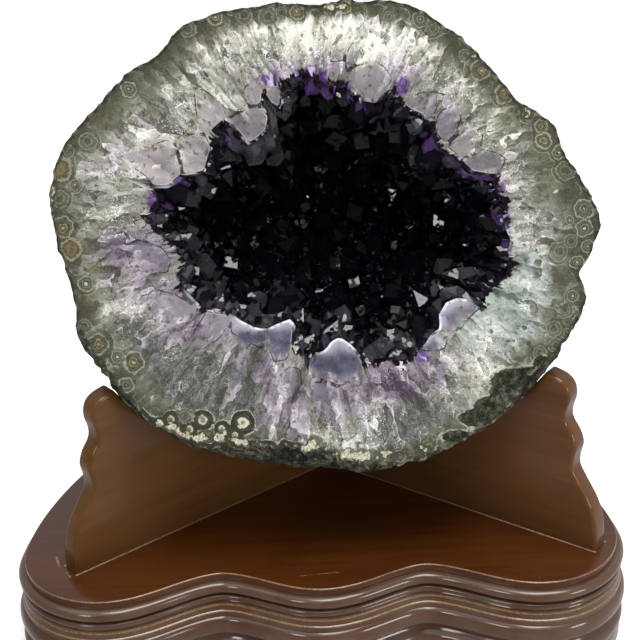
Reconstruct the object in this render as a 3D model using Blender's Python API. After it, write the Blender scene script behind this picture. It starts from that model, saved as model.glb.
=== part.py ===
"""Amethyst geode, sawn and polished on its front, resting on a carved wooden display stand.

The stone is one natural piece: a shell of agate and quartz round a hollow, with one crust of
amethyst crystals grown in the hollow. The stand is a plinth of two moulded boards, with two more
boards set on edge across each other on top, whose hollowed edges carry the stone.

Frame: +Z up, the sawn face looks along -Y, the origin is under the middle of the plinth.
"""

import math
import random

import bmesh
import bpy
import numpy as np
from mathutils import Vector, noise
from mathutils.bvhtree import BVHTree

MM = 0.001
GAP = 0.3                     # clearance between two pieces that touch, mm

# Plinth, mm
PLINTH_HEIGHT = 56.0
PLINTH_SEAM = 16.0             # thickness of the top board
PLINTH_HALF_WIDTH = 154.5     # top edge, at its widest place
PLINTH_HALF_DEPTH = 114.2     # top edge, front lobes to back
WIDEST_Y = -66.0              # the plinth narrows from here to the back
BACK_EXPONENTS = (2.05, 1.6)  # of the superellipse round the back, across and along
LOBE_X = 110.0                # crest of each front lobe
CUSP_X = 52.0                 # inner corner between two lobes
CUSP_Y = -93.3
BULGE_Y = -111.4              # crest of the middle lobe
# Mouldings: distance out from the top edge, depth under the plinth's top
TOP_MOULDING = (
    (-0.8, 0.0), (0.0, 0.8), (0.2, 4.4),         # top edge and fillet
    (3.8, 7.8), (1.2, 11.6),                     # bead and the quirk under it
    (2.9, 13.8), (1.6, PLINTH_SEAM),             # small bead
)
BASE_MOULDING = (
    (1.6, PLINTH_SEAM + GAP), (3.1, 20.8),       # stepped fillet
    (5.4, 28.0), (3.8, 35.5), (0.8, 38.8),       # swelling moulding
    (4.0, 40.8), (4.8, 43.6), (3.8, 46.5),       # foot board with a rounded lip
    (3.8, PLINTH_HEIGHT),
)

# Cradle boards, mm
BOARD_THICKNESS = 11.0
BOARD_ANGLE = math.radians(38.0)   # of each board from the X axis
CROSSING = (7.0, 21.2)             # where the boards cross, in X and Y
FRONT_REACH = 172.5                # crossing to the foot of the front end
BACK_REACH = 84.0                  # crossing to the foot of the back end
CROSSING_TOP = 34.0                # height of the boards at the crossing, over the plinth
EDGE_RADIUS = 3.2
# Scalloped outer end: distance in from the foot, height over the plinth
FRONT_END = (
    (0.0, 0.0), (0.2, 9.0), (1.6, 17.0), (5.0, 26.0), (12.5, 37.5),
    (15.4, 43.0), (15.2, 49.0), (14.0, 55.5), (16.2, 62.0), (20.3, 68.0),
    (20.8, 73.5), (19.0, 81.0), (20.2, 87.5), (24.5, 91.4), (32.5, 93.4),
)
BACK_END_SCALE = 0.75
LAP_SHARE = 0.5                    # each board is slotted over this share of its height
FRONT_HOLLOW = 3.4                 # how steeply the hollowed top rises to the front end
BACK_HOLLOW = 2.1

# Stone, mm, in its own frame: u to the right, v up the sawn face, d back from the face
FACE_LEAN = math.radians(20.0)
FACE_CENTRE = (8.0, -53.7, 217.9)  # near enough in height: the stone is lowered on its boards
HELD_ABOVE = 60.0
STONE_DEPTH = 156.0
BELLY = 0.008                      # how much the skin swells behind the face
CHAMFER = 5.0                      # the saw left a strip of skin in view under the face
CHAMFER_DEPTH = 9.0
SIDES = 72
RIM = (
    (134.7, 6.0), (126.7, 24.5), (116.2, 43.6), (111.5, 55.0), (95.9, 66.1), (83.5, 81.2),
    (68.1, 97.4), (52.8, 108.7), (35.0, 115.8), (1.0, 116.0), (-40.2, 114.9), (-66.9, 107.2),
    (-74.0, 99.0), (-94.4, 85.4), (-117.1, 62.9), (-127.6, 50.1), (-134.2, 31.0),
    (-132.4, 6.4), (-126.1, -23.8), (-125.0, -39.8), (-111.0, -66.3), (-88.2, -89.6),
    (-70.6, -99.0), (-44.9, -106.7), (-23.1, -113.7), (1.6, -115.4), (22.0, -116.3),
    (52.6, -106.0), (73.2, -92.1), (107.2, -67.2), (125.1, -39.1), (124.0, -20.0),
)
HOLLOW_CENTRE = (-2.0, 13.0)
OPENING = (
    (80.0, 12.0), (66.0, 36.0), (50.0, 56.0), (38.0, 74.0), (12.0, 70.0), (-5.0, 78.0),
    (-30.0, 78.0), (-45.0, 58.0), (-66.0, 38.0), (-83.0, 19.0), (-72.0, -10.0),
    (-50.0, -33.0), (-22.0, -40.0), (4.0, -50.0), (38.0, -52.0), (56.0, -38.0), (73.0, -14.0),
)
HOLLOW_DEPTH = 98.0
CRUST = 16.0                       # from the rind to the feet of the crystals
SKIN_DEPTHS = (4.0, 9.0, 16.0, 27.0, 42.0, 60.0, 78.0, 96.0, 112.0, 126.0, 138.0, 147.0, 153.0)
HOLLOW_DEPTHS = (18.0, 38.0, 58.0, 75.0, 88.0, 95.5)
LUMP_SIZE = 46.0
LUMP_HEIGHT = 3.4
PIT_SIZE = 17.0
PIT_HEIGHT = 2.0
CRYSTAL_SEED = 11
PRISM_SHARE = 0.55                 # of the crystals show upright sides under the point


def clear_scene():
    for obj in list(bpy.data.objects):
        bpy.data.objects.remove(obj, do_unlink=True)


def make_material(name, colour, roughness, metallic=0.0):
    material = bpy.data.materials.new(name)
    material.use_nodes = True
    shader = material.node_tree.nodes["Principled BSDF"]
    shader.inputs["Base Color"].default_value = (*colour, 1.0)
    shader.inputs["Roughness"].default_value = roughness
    shader.inputs["Metallic"].default_value = metallic
    return material


def add_object(name, bm, material):
    """Turn a bmesh in millimetres into an object in metres."""
    bmesh.ops.scale(bm, vec=(MM, MM, MM), verts=bm.verts)
    mesh = bpy.data.meshes.new(name)
    bm.to_mesh(mesh)
    bm.free()
    mesh.materials.append(material)
    obj = bpy.data.objects.new(name, mesh)
    bpy.context.collection.objects.link(obj)
    return obj


def loop_of(bm, points):
    return [bm.verts.new(point) for point in points]


def bridge(bm, first, second):
    """Quads between two closed loops with the same number of points."""
    count = len(first)
    for i in range(count):
        j = (i + 1) % count
        bm.faces.new((first[i], first[j], second[j], second[i]))


def fan(bm, ring, tip):
    """Close a loop to one point."""
    count = len(ring)
    for i in range(count):
        bm.faces.new((ring[i], ring[(i + 1) % count], tip))


def face_outwards(bm):
    bmesh.ops.recalc_face_normals(bm, faces=bm.faces)


# Plinth

def plinth_half_outline():
    """Right half of the top edge, from the middle of the front to the middle of the back."""
    points = []
    for i in range(7):
        share = i / 7
        swell = (0.5 + 0.5 * math.cos(math.pi * share)) ** 0.85
        points.append((CUSP_X * share, CUSP_Y + (BULGE_Y - CUSP_Y) * swell))
    for i in range(7):
        share = i / 7
        swell = (0.5 - 0.5 * math.cos(math.pi * share)) ** 0.85
        points.append((CUSP_X + (LOBE_X - CUSP_X) * share,
                       CUSP_Y + (-PLINTH_HALF_DEPTH - CUSP_Y) * swell))
    for i in range(6):
        turn = math.pi / 2 * i / 6
        points.append((LOBE_X + (PLINTH_HALF_WIDTH - LOBE_X) * math.sin(turn),
                       WIDEST_Y + (-PLINTH_HALF_DEPTH - WIDEST_Y) * math.cos(turn)))
    for i in range(12):
        turn = math.pi / 2 * i / 12
        across = math.cos(turn) ** (2 / BACK_EXPONENTS[0])
        along = math.sin(turn) ** (2 / BACK_EXPONENTS[1])
        points.append((PLINTH_HALF_WIDTH * across,
                       WIDEST_Y + (PLINTH_HALF_DEPTH - WIDEST_Y) * along))
    return points


def plinth_outline():
    half = plinth_half_outline()
    back = [(0.0, PLINTH_HALF_DEPTH)]
    mirrored = [(-x, y) for x, y in reversed(half[1:])]
    return np.array(half + back + mirrored)


def offset_outline(outline, distance):
    """Move each point out along the mean normal of its two sides."""
    ahead = np.roll(outline, -1, axis=0) - outline
    ahead /= np.linalg.norm(ahead, axis=1)[:, None]
    behind = np.roll(ahead, 1, axis=0)
    mean = ahead + behind
    mean /= np.linalg.norm(mean, axis=1)[:, None]
    normals = np.stack((mean[:, 1], -mean[:, 0]), axis=1)
    return outline + normals * distance


def make_moulded_board(name, moulding, material):
    outline = plinth_outline()
    bm = bmesh.new()
    rings = []
    for out, depth in moulding:
        edge = offset_outline(outline, out)
        rings.append(loop_of(bm, [(x, y, PLINTH_HEIGHT - depth) for x, y in edge]))
    for upper, lower in zip(rings, rings[1:]):
        bridge(bm, upper, lower)
    bm.faces.new(rings[0])
    bm.faces.new(rings[-1])
    face_outwards(bm)
    return add_object(name, bm, material)


# Cradle boards

def board_outline():
    """Side view of a board: distance along it from the crossing, height over the plinth."""
    outline = [(-FRONT_REACH + inset, height) for inset, height in FRONT_END]
    front_tip = outline[-1]
    back_end = [(BACK_REACH - inset * BACK_END_SCALE, height * BACK_END_SCALE)
                for inset, height in reversed(FRONT_END)]
    back_tip = back_end[0]
    steps = 9
    for i in range(1, steps):
        share = 1 - i / steps
        outline.append((front_tip[0] * share, hollow_height(share, front_tip[1], FRONT_HOLLOW)))
    outline.append((0.0, CROSSING_TOP))
    for i in range(1, steps - 2):
        share = i / (steps - 2)
        outline.append((back_tip[0] * share, hollow_height(share, back_tip[1], BACK_HOLLOW)))
    return outline + back_end


def hollow_height(share, tip_height, power):
    """Height of the hollowed top edge at a share of the way from the crossing to a tip."""
    return CROSSING_TOP + (tip_height - CROSSING_TOP) * share ** power


def board_frame(side):
    """Direction along a board towards its back end; side is -1 for the front left one."""
    return Vector((-side * math.cos(BOARD_ANGLE), math.sin(BOARD_ANGLE), 0.0))


def place_along(along, across, offset, height):
    """Point of a board in the stand's frame."""
    normal = Vector((-along.y, along.x, 0.0))
    centre = Vector((CROSSING[0], CROSSING[1], PLINTH_HEIGHT + GAP))
    return centre + along * offset + normal * across + Vector((0.0, 0.0, height))


def make_board(name, side, material):
    along = board_frame(side)
    half = BOARD_THICKNESS / 2
    outline = board_outline()
    bm = bmesh.new()
    front = loop_of(bm, [place_along(along, -half, x, z) for x, z in outline])
    back = loop_of(bm, [place_along(along, half, x, z) for x, z in outline])
    bridge(bm, front, back)
    faces = [bm.faces.new(front), bm.faces.new(back)]
    face_outwards(bm)
    floor = PLINTH_HEIGHT + GAP + 0.01
    edges = [edge for face in faces for edge in face.edges
             if max(vert.co.z for vert in edge.verts) > floor]
    bmesh.ops.bevel(bm, geom=edges, offset=EDGE_RADIUS, segments=2, profile=0.5,
                    affect="EDGES", clamp_overlap=True)
    return add_object(name, bm, material)


def cut_lap(board, other_side, upper):
    """Slot a board over half its height, where the other one passes through it."""
    along = board_frame(other_side)
    half = BOARD_THICKNESS / 2 + GAP
    middle = CROSSING_TOP * LAP_SHARE
    low, high = (middle - GAP / 2, CROSSING_TOP + 30) if upper else (-20, middle + GAP / 2)
    bm = bmesh.new()
    corners = ((-40, -half), (40, -half), (40, half), (-40, half))
    bottom = loop_of(bm, [place_along(along, across, offset, low) for offset, across in corners])
    top = loop_of(bm, [place_along(along, across, offset, high) for offset, across in corners])
    bridge(bm, bottom, top)
    bm.faces.new(bottom)
    bm.faces.new(top)
    face_outwards(bm)
    cutter = add_object(board.name + "_slot", bm, board.data.materials[0])
    cutter.hide_render = True
    cutter.display_type = "WIRE"
    cut = board.modifiers.new("lap slot", "BOOLEAN")
    cut.operation = "DIFFERENCE"
    cut.solver = "EXACT"
    cut.object = cutter


# Stone

def radii_about(points, centre, angles):
    """Distance from a centre to a closed outline, at each angle."""
    offsets = np.array(points) - np.array(centre)
    bearings = np.arctan2(offsets[:, 1], offsets[:, 0])
    return np.interp(angles, bearings, np.hypot(offsets[:, 0], offsets[:, 1]),
                     period=2 * math.pi)


def smoothed(values, passes):
    for _ in range(passes):
        values = (np.roll(values, 1) + 2 * values + np.roll(values, -1)) / 4
    return values


ANGLES = np.arange(SIDES) * 2 * math.pi / SIDES
RIM_RADII = radii_about(RIM, (0.0, 0.0), ANGLES)
OPENING_RADII = smoothed(radii_about(OPENING, HOLLOW_CENTRE, ANGLES), 2)


def lump(point):
    """Height of the natural skin's lumps and pits at a point."""
    coarse = noise.noise(point / LUMP_SIZE)
    fine = noise.noise(point / PIT_SIZE + Vector((7.0, 3.0, 5.0)))
    return LUMP_HEIGHT * coarse + PIT_HEIGHT * fine


def skin_strip(angles):
    """How far the face's edge lies inside the skin's outline, most of all along the bottom."""
    return CHAMFER * np.clip(-np.sin(angles) * 1.6 - 0.45, 0.0, 1.0)


def skin_ring(depth):
    """Points round the natural skin at a depth behind the face."""
    share = depth / STONE_DEPTH
    swell = 1.0 + BELLY * math.sin(min(depth / 95.0, 1.0) * math.pi)
    taper = (1 - share ** 2.3) ** 0.5
    rounding = 0.75 * share
    radii = RIM_RADII * (1 - rounding) + RIM_RADII.mean() * rounding
    points = []
    radii = radii * swell * taper - skin_strip(ANGLES) * max(0.0, 1 - depth / CHAMFER_DEPTH)
    for angle, radius in zip(ANGLES, radii):
        way = Vector((math.cos(angle), 0.0, math.sin(angle)))
        point = way * radius + Vector((0.0, depth, 0.0))
        points.append(point + way * lump(point) * min(1.0, depth / 10.0))
    return points


def hollow_ring(depth, total_depth, growth):
    """Points round the hollow's wall, growth outside the opening's outline."""
    taper = (1 - (depth / total_depth) ** 2.2) ** 0.5
    points = []
    for angle, radius in zip(ANGLES, OPENING_RADII):
        reach = (radius + growth) * taper
        points.append(Vector((HOLLOW_CENTRE[0] + reach * math.cos(angle), depth,
                              HOLLOW_CENTRE[1] + reach * math.sin(angle))))
    return points


def hollow_wall(bm, total_depth, growth, depths):
    """The bowl of the hollow, open at the face; returns its edge there."""
    edge = loop_of(bm, hollow_ring(0.0, total_depth, growth))
    rings = [edge]
    for depth in depths:
        rings.append(loop_of(bm, hollow_ring(depth, total_depth, growth)))
    for outer, inner in zip(rings, rings[1:]):
        bridge(bm, outer, inner)
    deepest = bm.verts.new((HOLLOW_CENTRE[0], total_depth, HOLLOW_CENTRE[1]))
    fan(bm, rings[-1], deepest)
    return edge


def make_stone(material):
    bm = bmesh.new()
    rings = [loop_of(bm, skin_ring(0.0))]
    for depth in SKIN_DEPTHS:
        rings.append(loop_of(bm, skin_ring(depth)))
    for outer, inner in zip(rings, rings[1:]):
        bridge(bm, outer, inner)
    fan(bm, rings[-1], bm.verts.new((0.0, STONE_DEPTH, 0.0)))
    edge = hollow_wall(bm, HOLLOW_DEPTH, CRUST, HOLLOW_DEPTHS)
    bridge(bm, rings[0], edge)
    bmesh.ops.triangulate(bm, faces=bm.faces)
    face_outwards(bm)
    return add_object("geode_shell", bm, material)


def crystal_cells():
    """Rounded cells that tile a unit sphere, as lists of corners round each centre."""
    ball = bmesh.new()
    bmesh.ops.create_icosphere(ball, subdivisions=3, radius=1.0)
    rng = random.Random(CRYSTAL_SEED)
    corners = {}
    for face in ball.faces:
        shift = Vector([rng.uniform(-0.035, 0.035) for _ in range(3)])
        corners[face.index] = (face.calc_center_median() + shift).normalized()
    cells = []
    for vert in ball.verts:
        side = vert.co.orthogonal().normalized()
        other = vert.co.cross(side)
        around = sorted(vert.link_faces, key=lambda face: math.atan2(
            (corners[face.index] - vert.co).dot(other), (corners[face.index] - vert.co).dot(side)))
        cells.append([face.index for face in around])
    ball.free()
    return corners, cells


def bowl_point(way, inset):
    """A direction from the hollow's centre, on the crystals' wall or inset towards the middle."""
    angle = math.atan2(way.z, way.x)
    radius = np.interp(angle, ANGLES, OPENING_RADII, period=2 * math.pi)
    depth = HOLLOW_DEPTH - CRUST
    inner = 1 - inset
    return Vector((HOLLOW_CENTRE[0] + way.x * radius * inner, way.y * depth * inner,
                   HOLLOW_CENTRE[1] + way.z * radius * inner))


def grow_crystal(bm, feet, corners, prism, rng):
    """One pointed crystal on a cell, with upright sides under the point if prism is not 0."""
    middle = sum(corners, Vector()) / len(corners)
    ring = feet
    if prism > 0:
        shrunk = [(middle + (corner - middle) * 0.82).normalized() for corner in corners]
        ring = [bm.verts.new(bowl_point(way, prism)) for way in shrunk]
        bridge(bm, feet, ring)
    lean = Vector([rng.uniform(-0.035, 0.035) for _ in range(3)])
    point = bowl_point((middle + lean).normalized(), prism + rng.uniform(0.06, 0.12))
    fan(bm, ring, bm.verts.new(point))


def make_crystals(material):
    """The crust of crystals: crystals on the inside, the hollow's wall outside, sawn in front."""
    rng = random.Random(CRYSTAL_SEED)
    corners, cells = crystal_cells()
    bm = bmesh.new()
    feet = {index: bm.verts.new(bowl_point(way, 0.0)) for index, way in corners.items()}
    for cell in cells:
        prism = rng.uniform(0.05, 0.12) if rng.random() < PRISM_SHARE else 0.0
        grow_crystal(bm, [feet[index] for index in cell], [corners[index] for index in cell],
                     prism, rng)
    bmesh.ops.triangulate(bm, faces=bm.faces)
    everything = bm.verts[:] + bm.edges[:] + bm.faces[:]
    bmesh.ops.bisect_plane(bm, geom=everything, plane_co=(0, 0.05, 0), plane_no=(0, 1, 0),
                           clear_inner=True)
    opening = [edge for edge in bm.edges if edge.is_boundary]
    outer = hollow_wall(bm, HOLLOW_DEPTH - GAP * 1.4, CRUST - GAP * 1.4, HOLLOW_DEPTHS)
    for vert in outer:
        vert.co.y = 0.05
    rim = [edge for edge in bm.edges if edge.is_boundary and edge not in opening]
    bmesh.ops.triangle_fill(bm, edges=opening + rim, use_beauty=True)
    bmesh.ops.triangulate(bm, faces=bm.faces)
    face_outwards(bm)
    return add_object("amethyst_crystals", bm, material)


def hold(obj):
    """Lean the stone back, above the cradle."""
    obj.location = (Vector(FACE_CENTRE) + Vector((0.0, 0.0, HELD_ABOVE))) * MM
    obj.rotation_euler = (-FACE_LEAN, 0.0, 0.0)


def room_below(stone, boards):
    """How far the stone can come down before it stands GAP clear of the boards."""
    bpy.context.view_layer.update()
    skin = bmesh.new()
    skin.from_mesh(stone.data)
    skin.transform(stone.matrix_world)
    tree = BVHTree.FromBMesh(skin)
    room = math.inf
    for board in boards:
        for start, end in top_edges(board):
            for i in range(9):
                point = start.lerp(end, i / 8)
                hit = tree.ray_cast(point, Vector((0.0, 0.0, 1.0)))
                if hit[0] is not None:
                    room = min(room, hit[3])
    skin.free()
    return room - GAP * MM


def top_edges(board):
    """End points of every edge on the upper side of a board."""
    mesh = board.data
    lowest = (PLINTH_HEIGHT + CROSSING_TOP * 0.8) * MM
    for edge in mesh.edges:
        start, end = (mesh.vertices[index].co for index in edge.vertices)
        if min(start.z, end.z) > lowest:
            yield start.copy(), end.copy()


def shade(obj, angle):
    obj.data.shade_smooth()
    obj.data.set_sharp_from_angle(angle=math.radians(angle))


def build():
    clear_scene()
    wood = make_material("dark lacquered wood", (0.075, 0.022, 0.009), 0.22)
    rind = make_material("agate and quartz", (0.16, 0.17, 0.14), 0.18)
    amethyst = make_material("amethyst", (0.055, 0.018, 0.11), 0.08)
    plinth_top = make_moulded_board("plinth_top", TOP_MOULDING, wood)
    plinth_base = make_moulded_board("plinth_base", BASE_MOULDING, wood)
    left = make_board("left_cradle_board", -1, wood)
    right = make_board("right_cradle_board", 1, wood)
    stone = make_stone(rind)
    crystals = make_crystals(amethyst)
    hold(stone)
    stone.location.z -= room_below(stone, (left, right))
    crystals.location = stone.location
    crystals.rotation_euler = stone.rotation_euler
    cut_lap(left, 1, True)
    cut_lap(right, -1, False)
    for obj in (plinth_top, plinth_base):
        shade(obj, 35)
    shade(stone, 50)


build()
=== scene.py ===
"""Amethyst geode with a sawn and polished face, leaning back on a lacquered wooden stand."""

import math
import random
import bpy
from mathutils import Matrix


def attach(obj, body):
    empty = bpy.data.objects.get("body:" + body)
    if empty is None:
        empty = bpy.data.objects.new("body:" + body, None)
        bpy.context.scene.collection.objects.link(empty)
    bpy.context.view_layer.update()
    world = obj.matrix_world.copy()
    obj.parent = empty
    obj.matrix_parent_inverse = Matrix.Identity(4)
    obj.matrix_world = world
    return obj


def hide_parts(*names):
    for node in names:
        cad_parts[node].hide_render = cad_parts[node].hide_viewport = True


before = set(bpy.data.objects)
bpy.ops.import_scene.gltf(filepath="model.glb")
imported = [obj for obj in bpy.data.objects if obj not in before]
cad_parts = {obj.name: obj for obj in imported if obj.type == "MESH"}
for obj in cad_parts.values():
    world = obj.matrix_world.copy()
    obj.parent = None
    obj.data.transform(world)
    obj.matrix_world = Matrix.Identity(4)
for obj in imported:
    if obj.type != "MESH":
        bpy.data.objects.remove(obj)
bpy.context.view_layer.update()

from types import SimpleNamespace

import bmesh
import bpy
import numpy as np
from mathutils import Matrix, Vector, geometry, noise
from mathutils.kdtree import KDTree

MM = 0.001

# Camera
CAMERA_PLACE = (-0.01289, -0.73284, 0.48772)
CAMERA_PITCH = math.radians(24.615)
CAMERA_YAW = math.radians(1.352)
CAMERA_ROLL = math.radians(1.795)
CAMERA_LENS = 84.375

# Light round the studio along each axis, from the low end to the high one
WORLD_SHADES = (
    ("Y", ((0.2, (0.06, 0.06, 0.064)), (0.5, (0.15, 0.15, 0.155)), (0.8, (0.42, 0.42, 0.42)))),
    ("Z", ((0.3, (0.12, 0.12, 0.125)), (0.46, (0.0, 0.0, 0.0)))),
    ("X", ((0.62, (0.0, 0.0, 0.0)), (0.88, (0.22, 0.22, 0.225)))),
)

# Edges up to these angles are smoothed over, degrees
WOOD_SMOOTH, STONE_SMOOTH = 32, 40

# Plinth, mm
PLINTH_HEIGHT = 56.0
HALF_WIDTH, HALF_DEPTH, WIDEST_Y = 154.5, 114.2, -66.0
BACK_EXPONENTS = (2.05, 1.6)
LOBE_X, CUSP_X, CUSP_Y, BULGE_Y = 110.0, 52.0, -93.3, -111.4
MIDDLE_POINTS, ROUND_POINTS = 96, 360

# Stain of each board: dark, middle and light; the right board's lighter, greyer shades are partly
# painted light
PLINTH_WOOD = (0.05, 0.011, 0.0012), (0.072, 0.0175, 0.002), (0.098, 0.027, 0.0042)
LEFT_WOOD = (0.086, 0.031, 0.0042), (0.108, 0.0415, 0.0064), (0.136, 0.056, 0.01)
RIGHT_WOOD = (0.096, 0.037, 0.0085), (0.118, 0.048, 0.013), (0.142, 0.061, 0.018)

# Scratches on the plinth: start, end and half width, mm
SCRATCHES = (
    ((-12.1, -99.1), (8.2, -97.2), 0.35), ((-138.0, -71.0), (-135.0, -82.0), 0.9),
    ((-131.0, -86.0), (-128.0, -92.0), 0.5), ((60.0, -30.0), (66.0, -36.0), 0.25),
)

# Cradle boards, mm
BOARD_THICKNESS = 11.0
BOARD_ANGLE = math.radians(38.0)
CROSSING = (7.0, 21.2)
FRONT_REACH, BACK_REACH, CROSSING_TOP = 172.5, 84.0, 34.0
FRONT_HOLLOW, BACK_HOLLOW, BACK_END_SCALE = 3.4, 2.1, 0.75
BOARD_LIFT, BOARD_ROUNDING, SLOT_PLAY, BOARD_POINTS = 0.3, 3.6, 0.3, 300
FRONT_END = (
    (0.0, 0.0), (0.2, 9.0), (1.6, 17.0), (5.0, 26.0), (12.5, 37.5),
    (15.4, 43.0), (15.2, 49.0), (14.0, 55.5), (16.2, 62.0), (20.3, 68.0),
    (20.8, 73.5), (19.0, 81.0), (20.2, 87.5), (24.5, 91.4), (32.5, 93.4),
)

# Stone, mm: u to the right, v up the sawn face, d back from it
FACE_LEAN = math.radians(20.0)
FACE_CENTRE = (8.0, -53.7, 217.81)
STONE_DEPTH = 156.0
HOLLOW_CENTRE = (-2.0, 13.0)
BOWL_DEPTH = 82.0
STREAK_SPREAD, STREAK_PACE = 62.0, 0.27
FAR = 60.0
# Walls behind the crystals, of the stone and of the crust: depths of their rings
STONE_WALL_DEPTHS, STONE_WALL_END = (3.0, 18.0, 38.0, 58.0, 75.0, 88.0, 95.0), 98.0
CRUST_THICKNESS = 2.5
CRUST_DEPTHS = 0.15, 2.0, 5.0, 9.0, 14.0, 20.0, 28.0, 38.0, 48.0, 58.0, 67.0, 74.0, 79.0, 81.5
SKIN_POINTS, OPENING_POINTS, FACE_STEP = 420, 260, 1.75
SKIN_OUTLINE = (
    (0.9, 115.9), (-15.6, 116), (-40.2, 114.9), (-55.1, 111.1), (-66.9, 107.2), (-73.2, 99.7),
    (-81.3, 92.8), (-94.4, 85.4), (-105.8, 74.1), (-117.1, 62.9), (-127.6, 50.1), (-133.4, 33.6),
    (-134.7, 23.9), (-132.4, 6.4), (-129.6, -5.8), (-126.1, -23.8), (-125, -39.8),
    (-118.2, -53.1), (-111, -66.3), (-99.7, -80), (-88.2, -89.6), (-70.6, -99),
    (-44.9, -106.7), (-23.1, -113.7), (1.6, -115.4), (22, -116.3), (40.3, -113.1),
    (53.6, -107.6), (76, -95), (97, -80.5), (106.7, -66.8), (117, -52.8), (125.1, -39.1),
    (125.9, -27.1), (124, -20), (129.9, -9.3), (134.7, 6), (126.7, 24.5), (116.2, 43.6),
    (112.5, 53.7), (95.9, 66.1), (83.5, 81.2), (68.1, 97.4), (52.8, 108.7), (40.1, 114.5),
    (28.8, 116.3), (15.3, 116.3),
)
OPENING = (
    (-86.7, 16.7), (-79.9, 7.9), (-74.1, 1.6), (-69, -6.5), (-72.4, -13), (-71.2, -19.2),
    (-66.8, -24.2), (-62.2, -29.3), (-56.7, -29.8), (-48.9, -31.7), (-44.2, -36.2),
    (-37, -40.1), (-31.6, -41.1), (-24.7, -38.2), (-19.8, -36.7), (-17.2, -39.7),
    (-18, -47.1), (-13.7, -53.4), (-11.8, -57.2), (-7, -54.3), (-2.7, -52.1), (-0.1, -48.4),
    (4.3, -46.5), (9, -50), (13.2, -54.5), (16.1, -58.6), (22.2, -60.4), (29.6, -57.4),
    (34.7, -60.3), (38.2, -57.4), (42, -54.5), (46, -51.6), (48.4, -47.4), (53.4, -44.1),
    (53.1, -37.7), (56.9, -31.7), (62.5, -29.5), (69.8, -31.3), (74.6, -34.3), (76.7, -30.1),
    (73.9, -25.1), (70.4, -21.8), (76.2, -22.4), (82.9, -23), (86.7, -19.5), (88.7, -13.4),
    (87.7, -7.9), (89.5, -2.5), (86.8, 3.7), (86, 9.1), (86.9, 14.7), (83, 20.7),
    (81.6, 25.2), (82.9, 27.9), (76.6, 29.6), (70.5, 30.8), (66.4, 35.5), (61, 39.7),
    (56.3, 42.5), (53.1, 49.3), (52.1, 54.7), (48.5, 56.1), (48.1, 59.4), (42.3, 61.7),
    (38.6, 64.9), (37.5, 68.3), (35.1, 68.8), (30.5, 68.5), (25.8, 66.3), (20.1, 67.7),
    (16.7, 70.7), (13.6, 70.4), (12.2, 74.8), (9.9, 74.3), (6.2, 74.2), (0.5, 75.3),
    (-3, 78.7), (-7.7, 81.4), (-12.6, 80.4), (-18.7, 79.2), (-19.8, 75.4), (-19.3, 70.6),
    (-20.4, 65.6), (-24.6, 67.5), (-27.4, 73.1), (-28.6, 66.8), (-25.2, 61.9), (-26.7, 55.3),
    (-32.6, 50), (-37.1, 48.3), (-39.7, 52.5), (-43.5, 57.4), (-47.9, 60), (-52.5, 56.5),
    (-49.3, 55.2), (-46.3, 53.4), (-47.7, 50.1), (-52.3, 49.6), (-54.1, 46.8), (-58, 36.1),
    (-62.9, 34.8), (-68.7, 34.3), (-70, 32), (-76.2, 29.3), (-83.1, 29.6), (-81.3, 24.3),
    (-81.1, 19.8),
)
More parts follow.
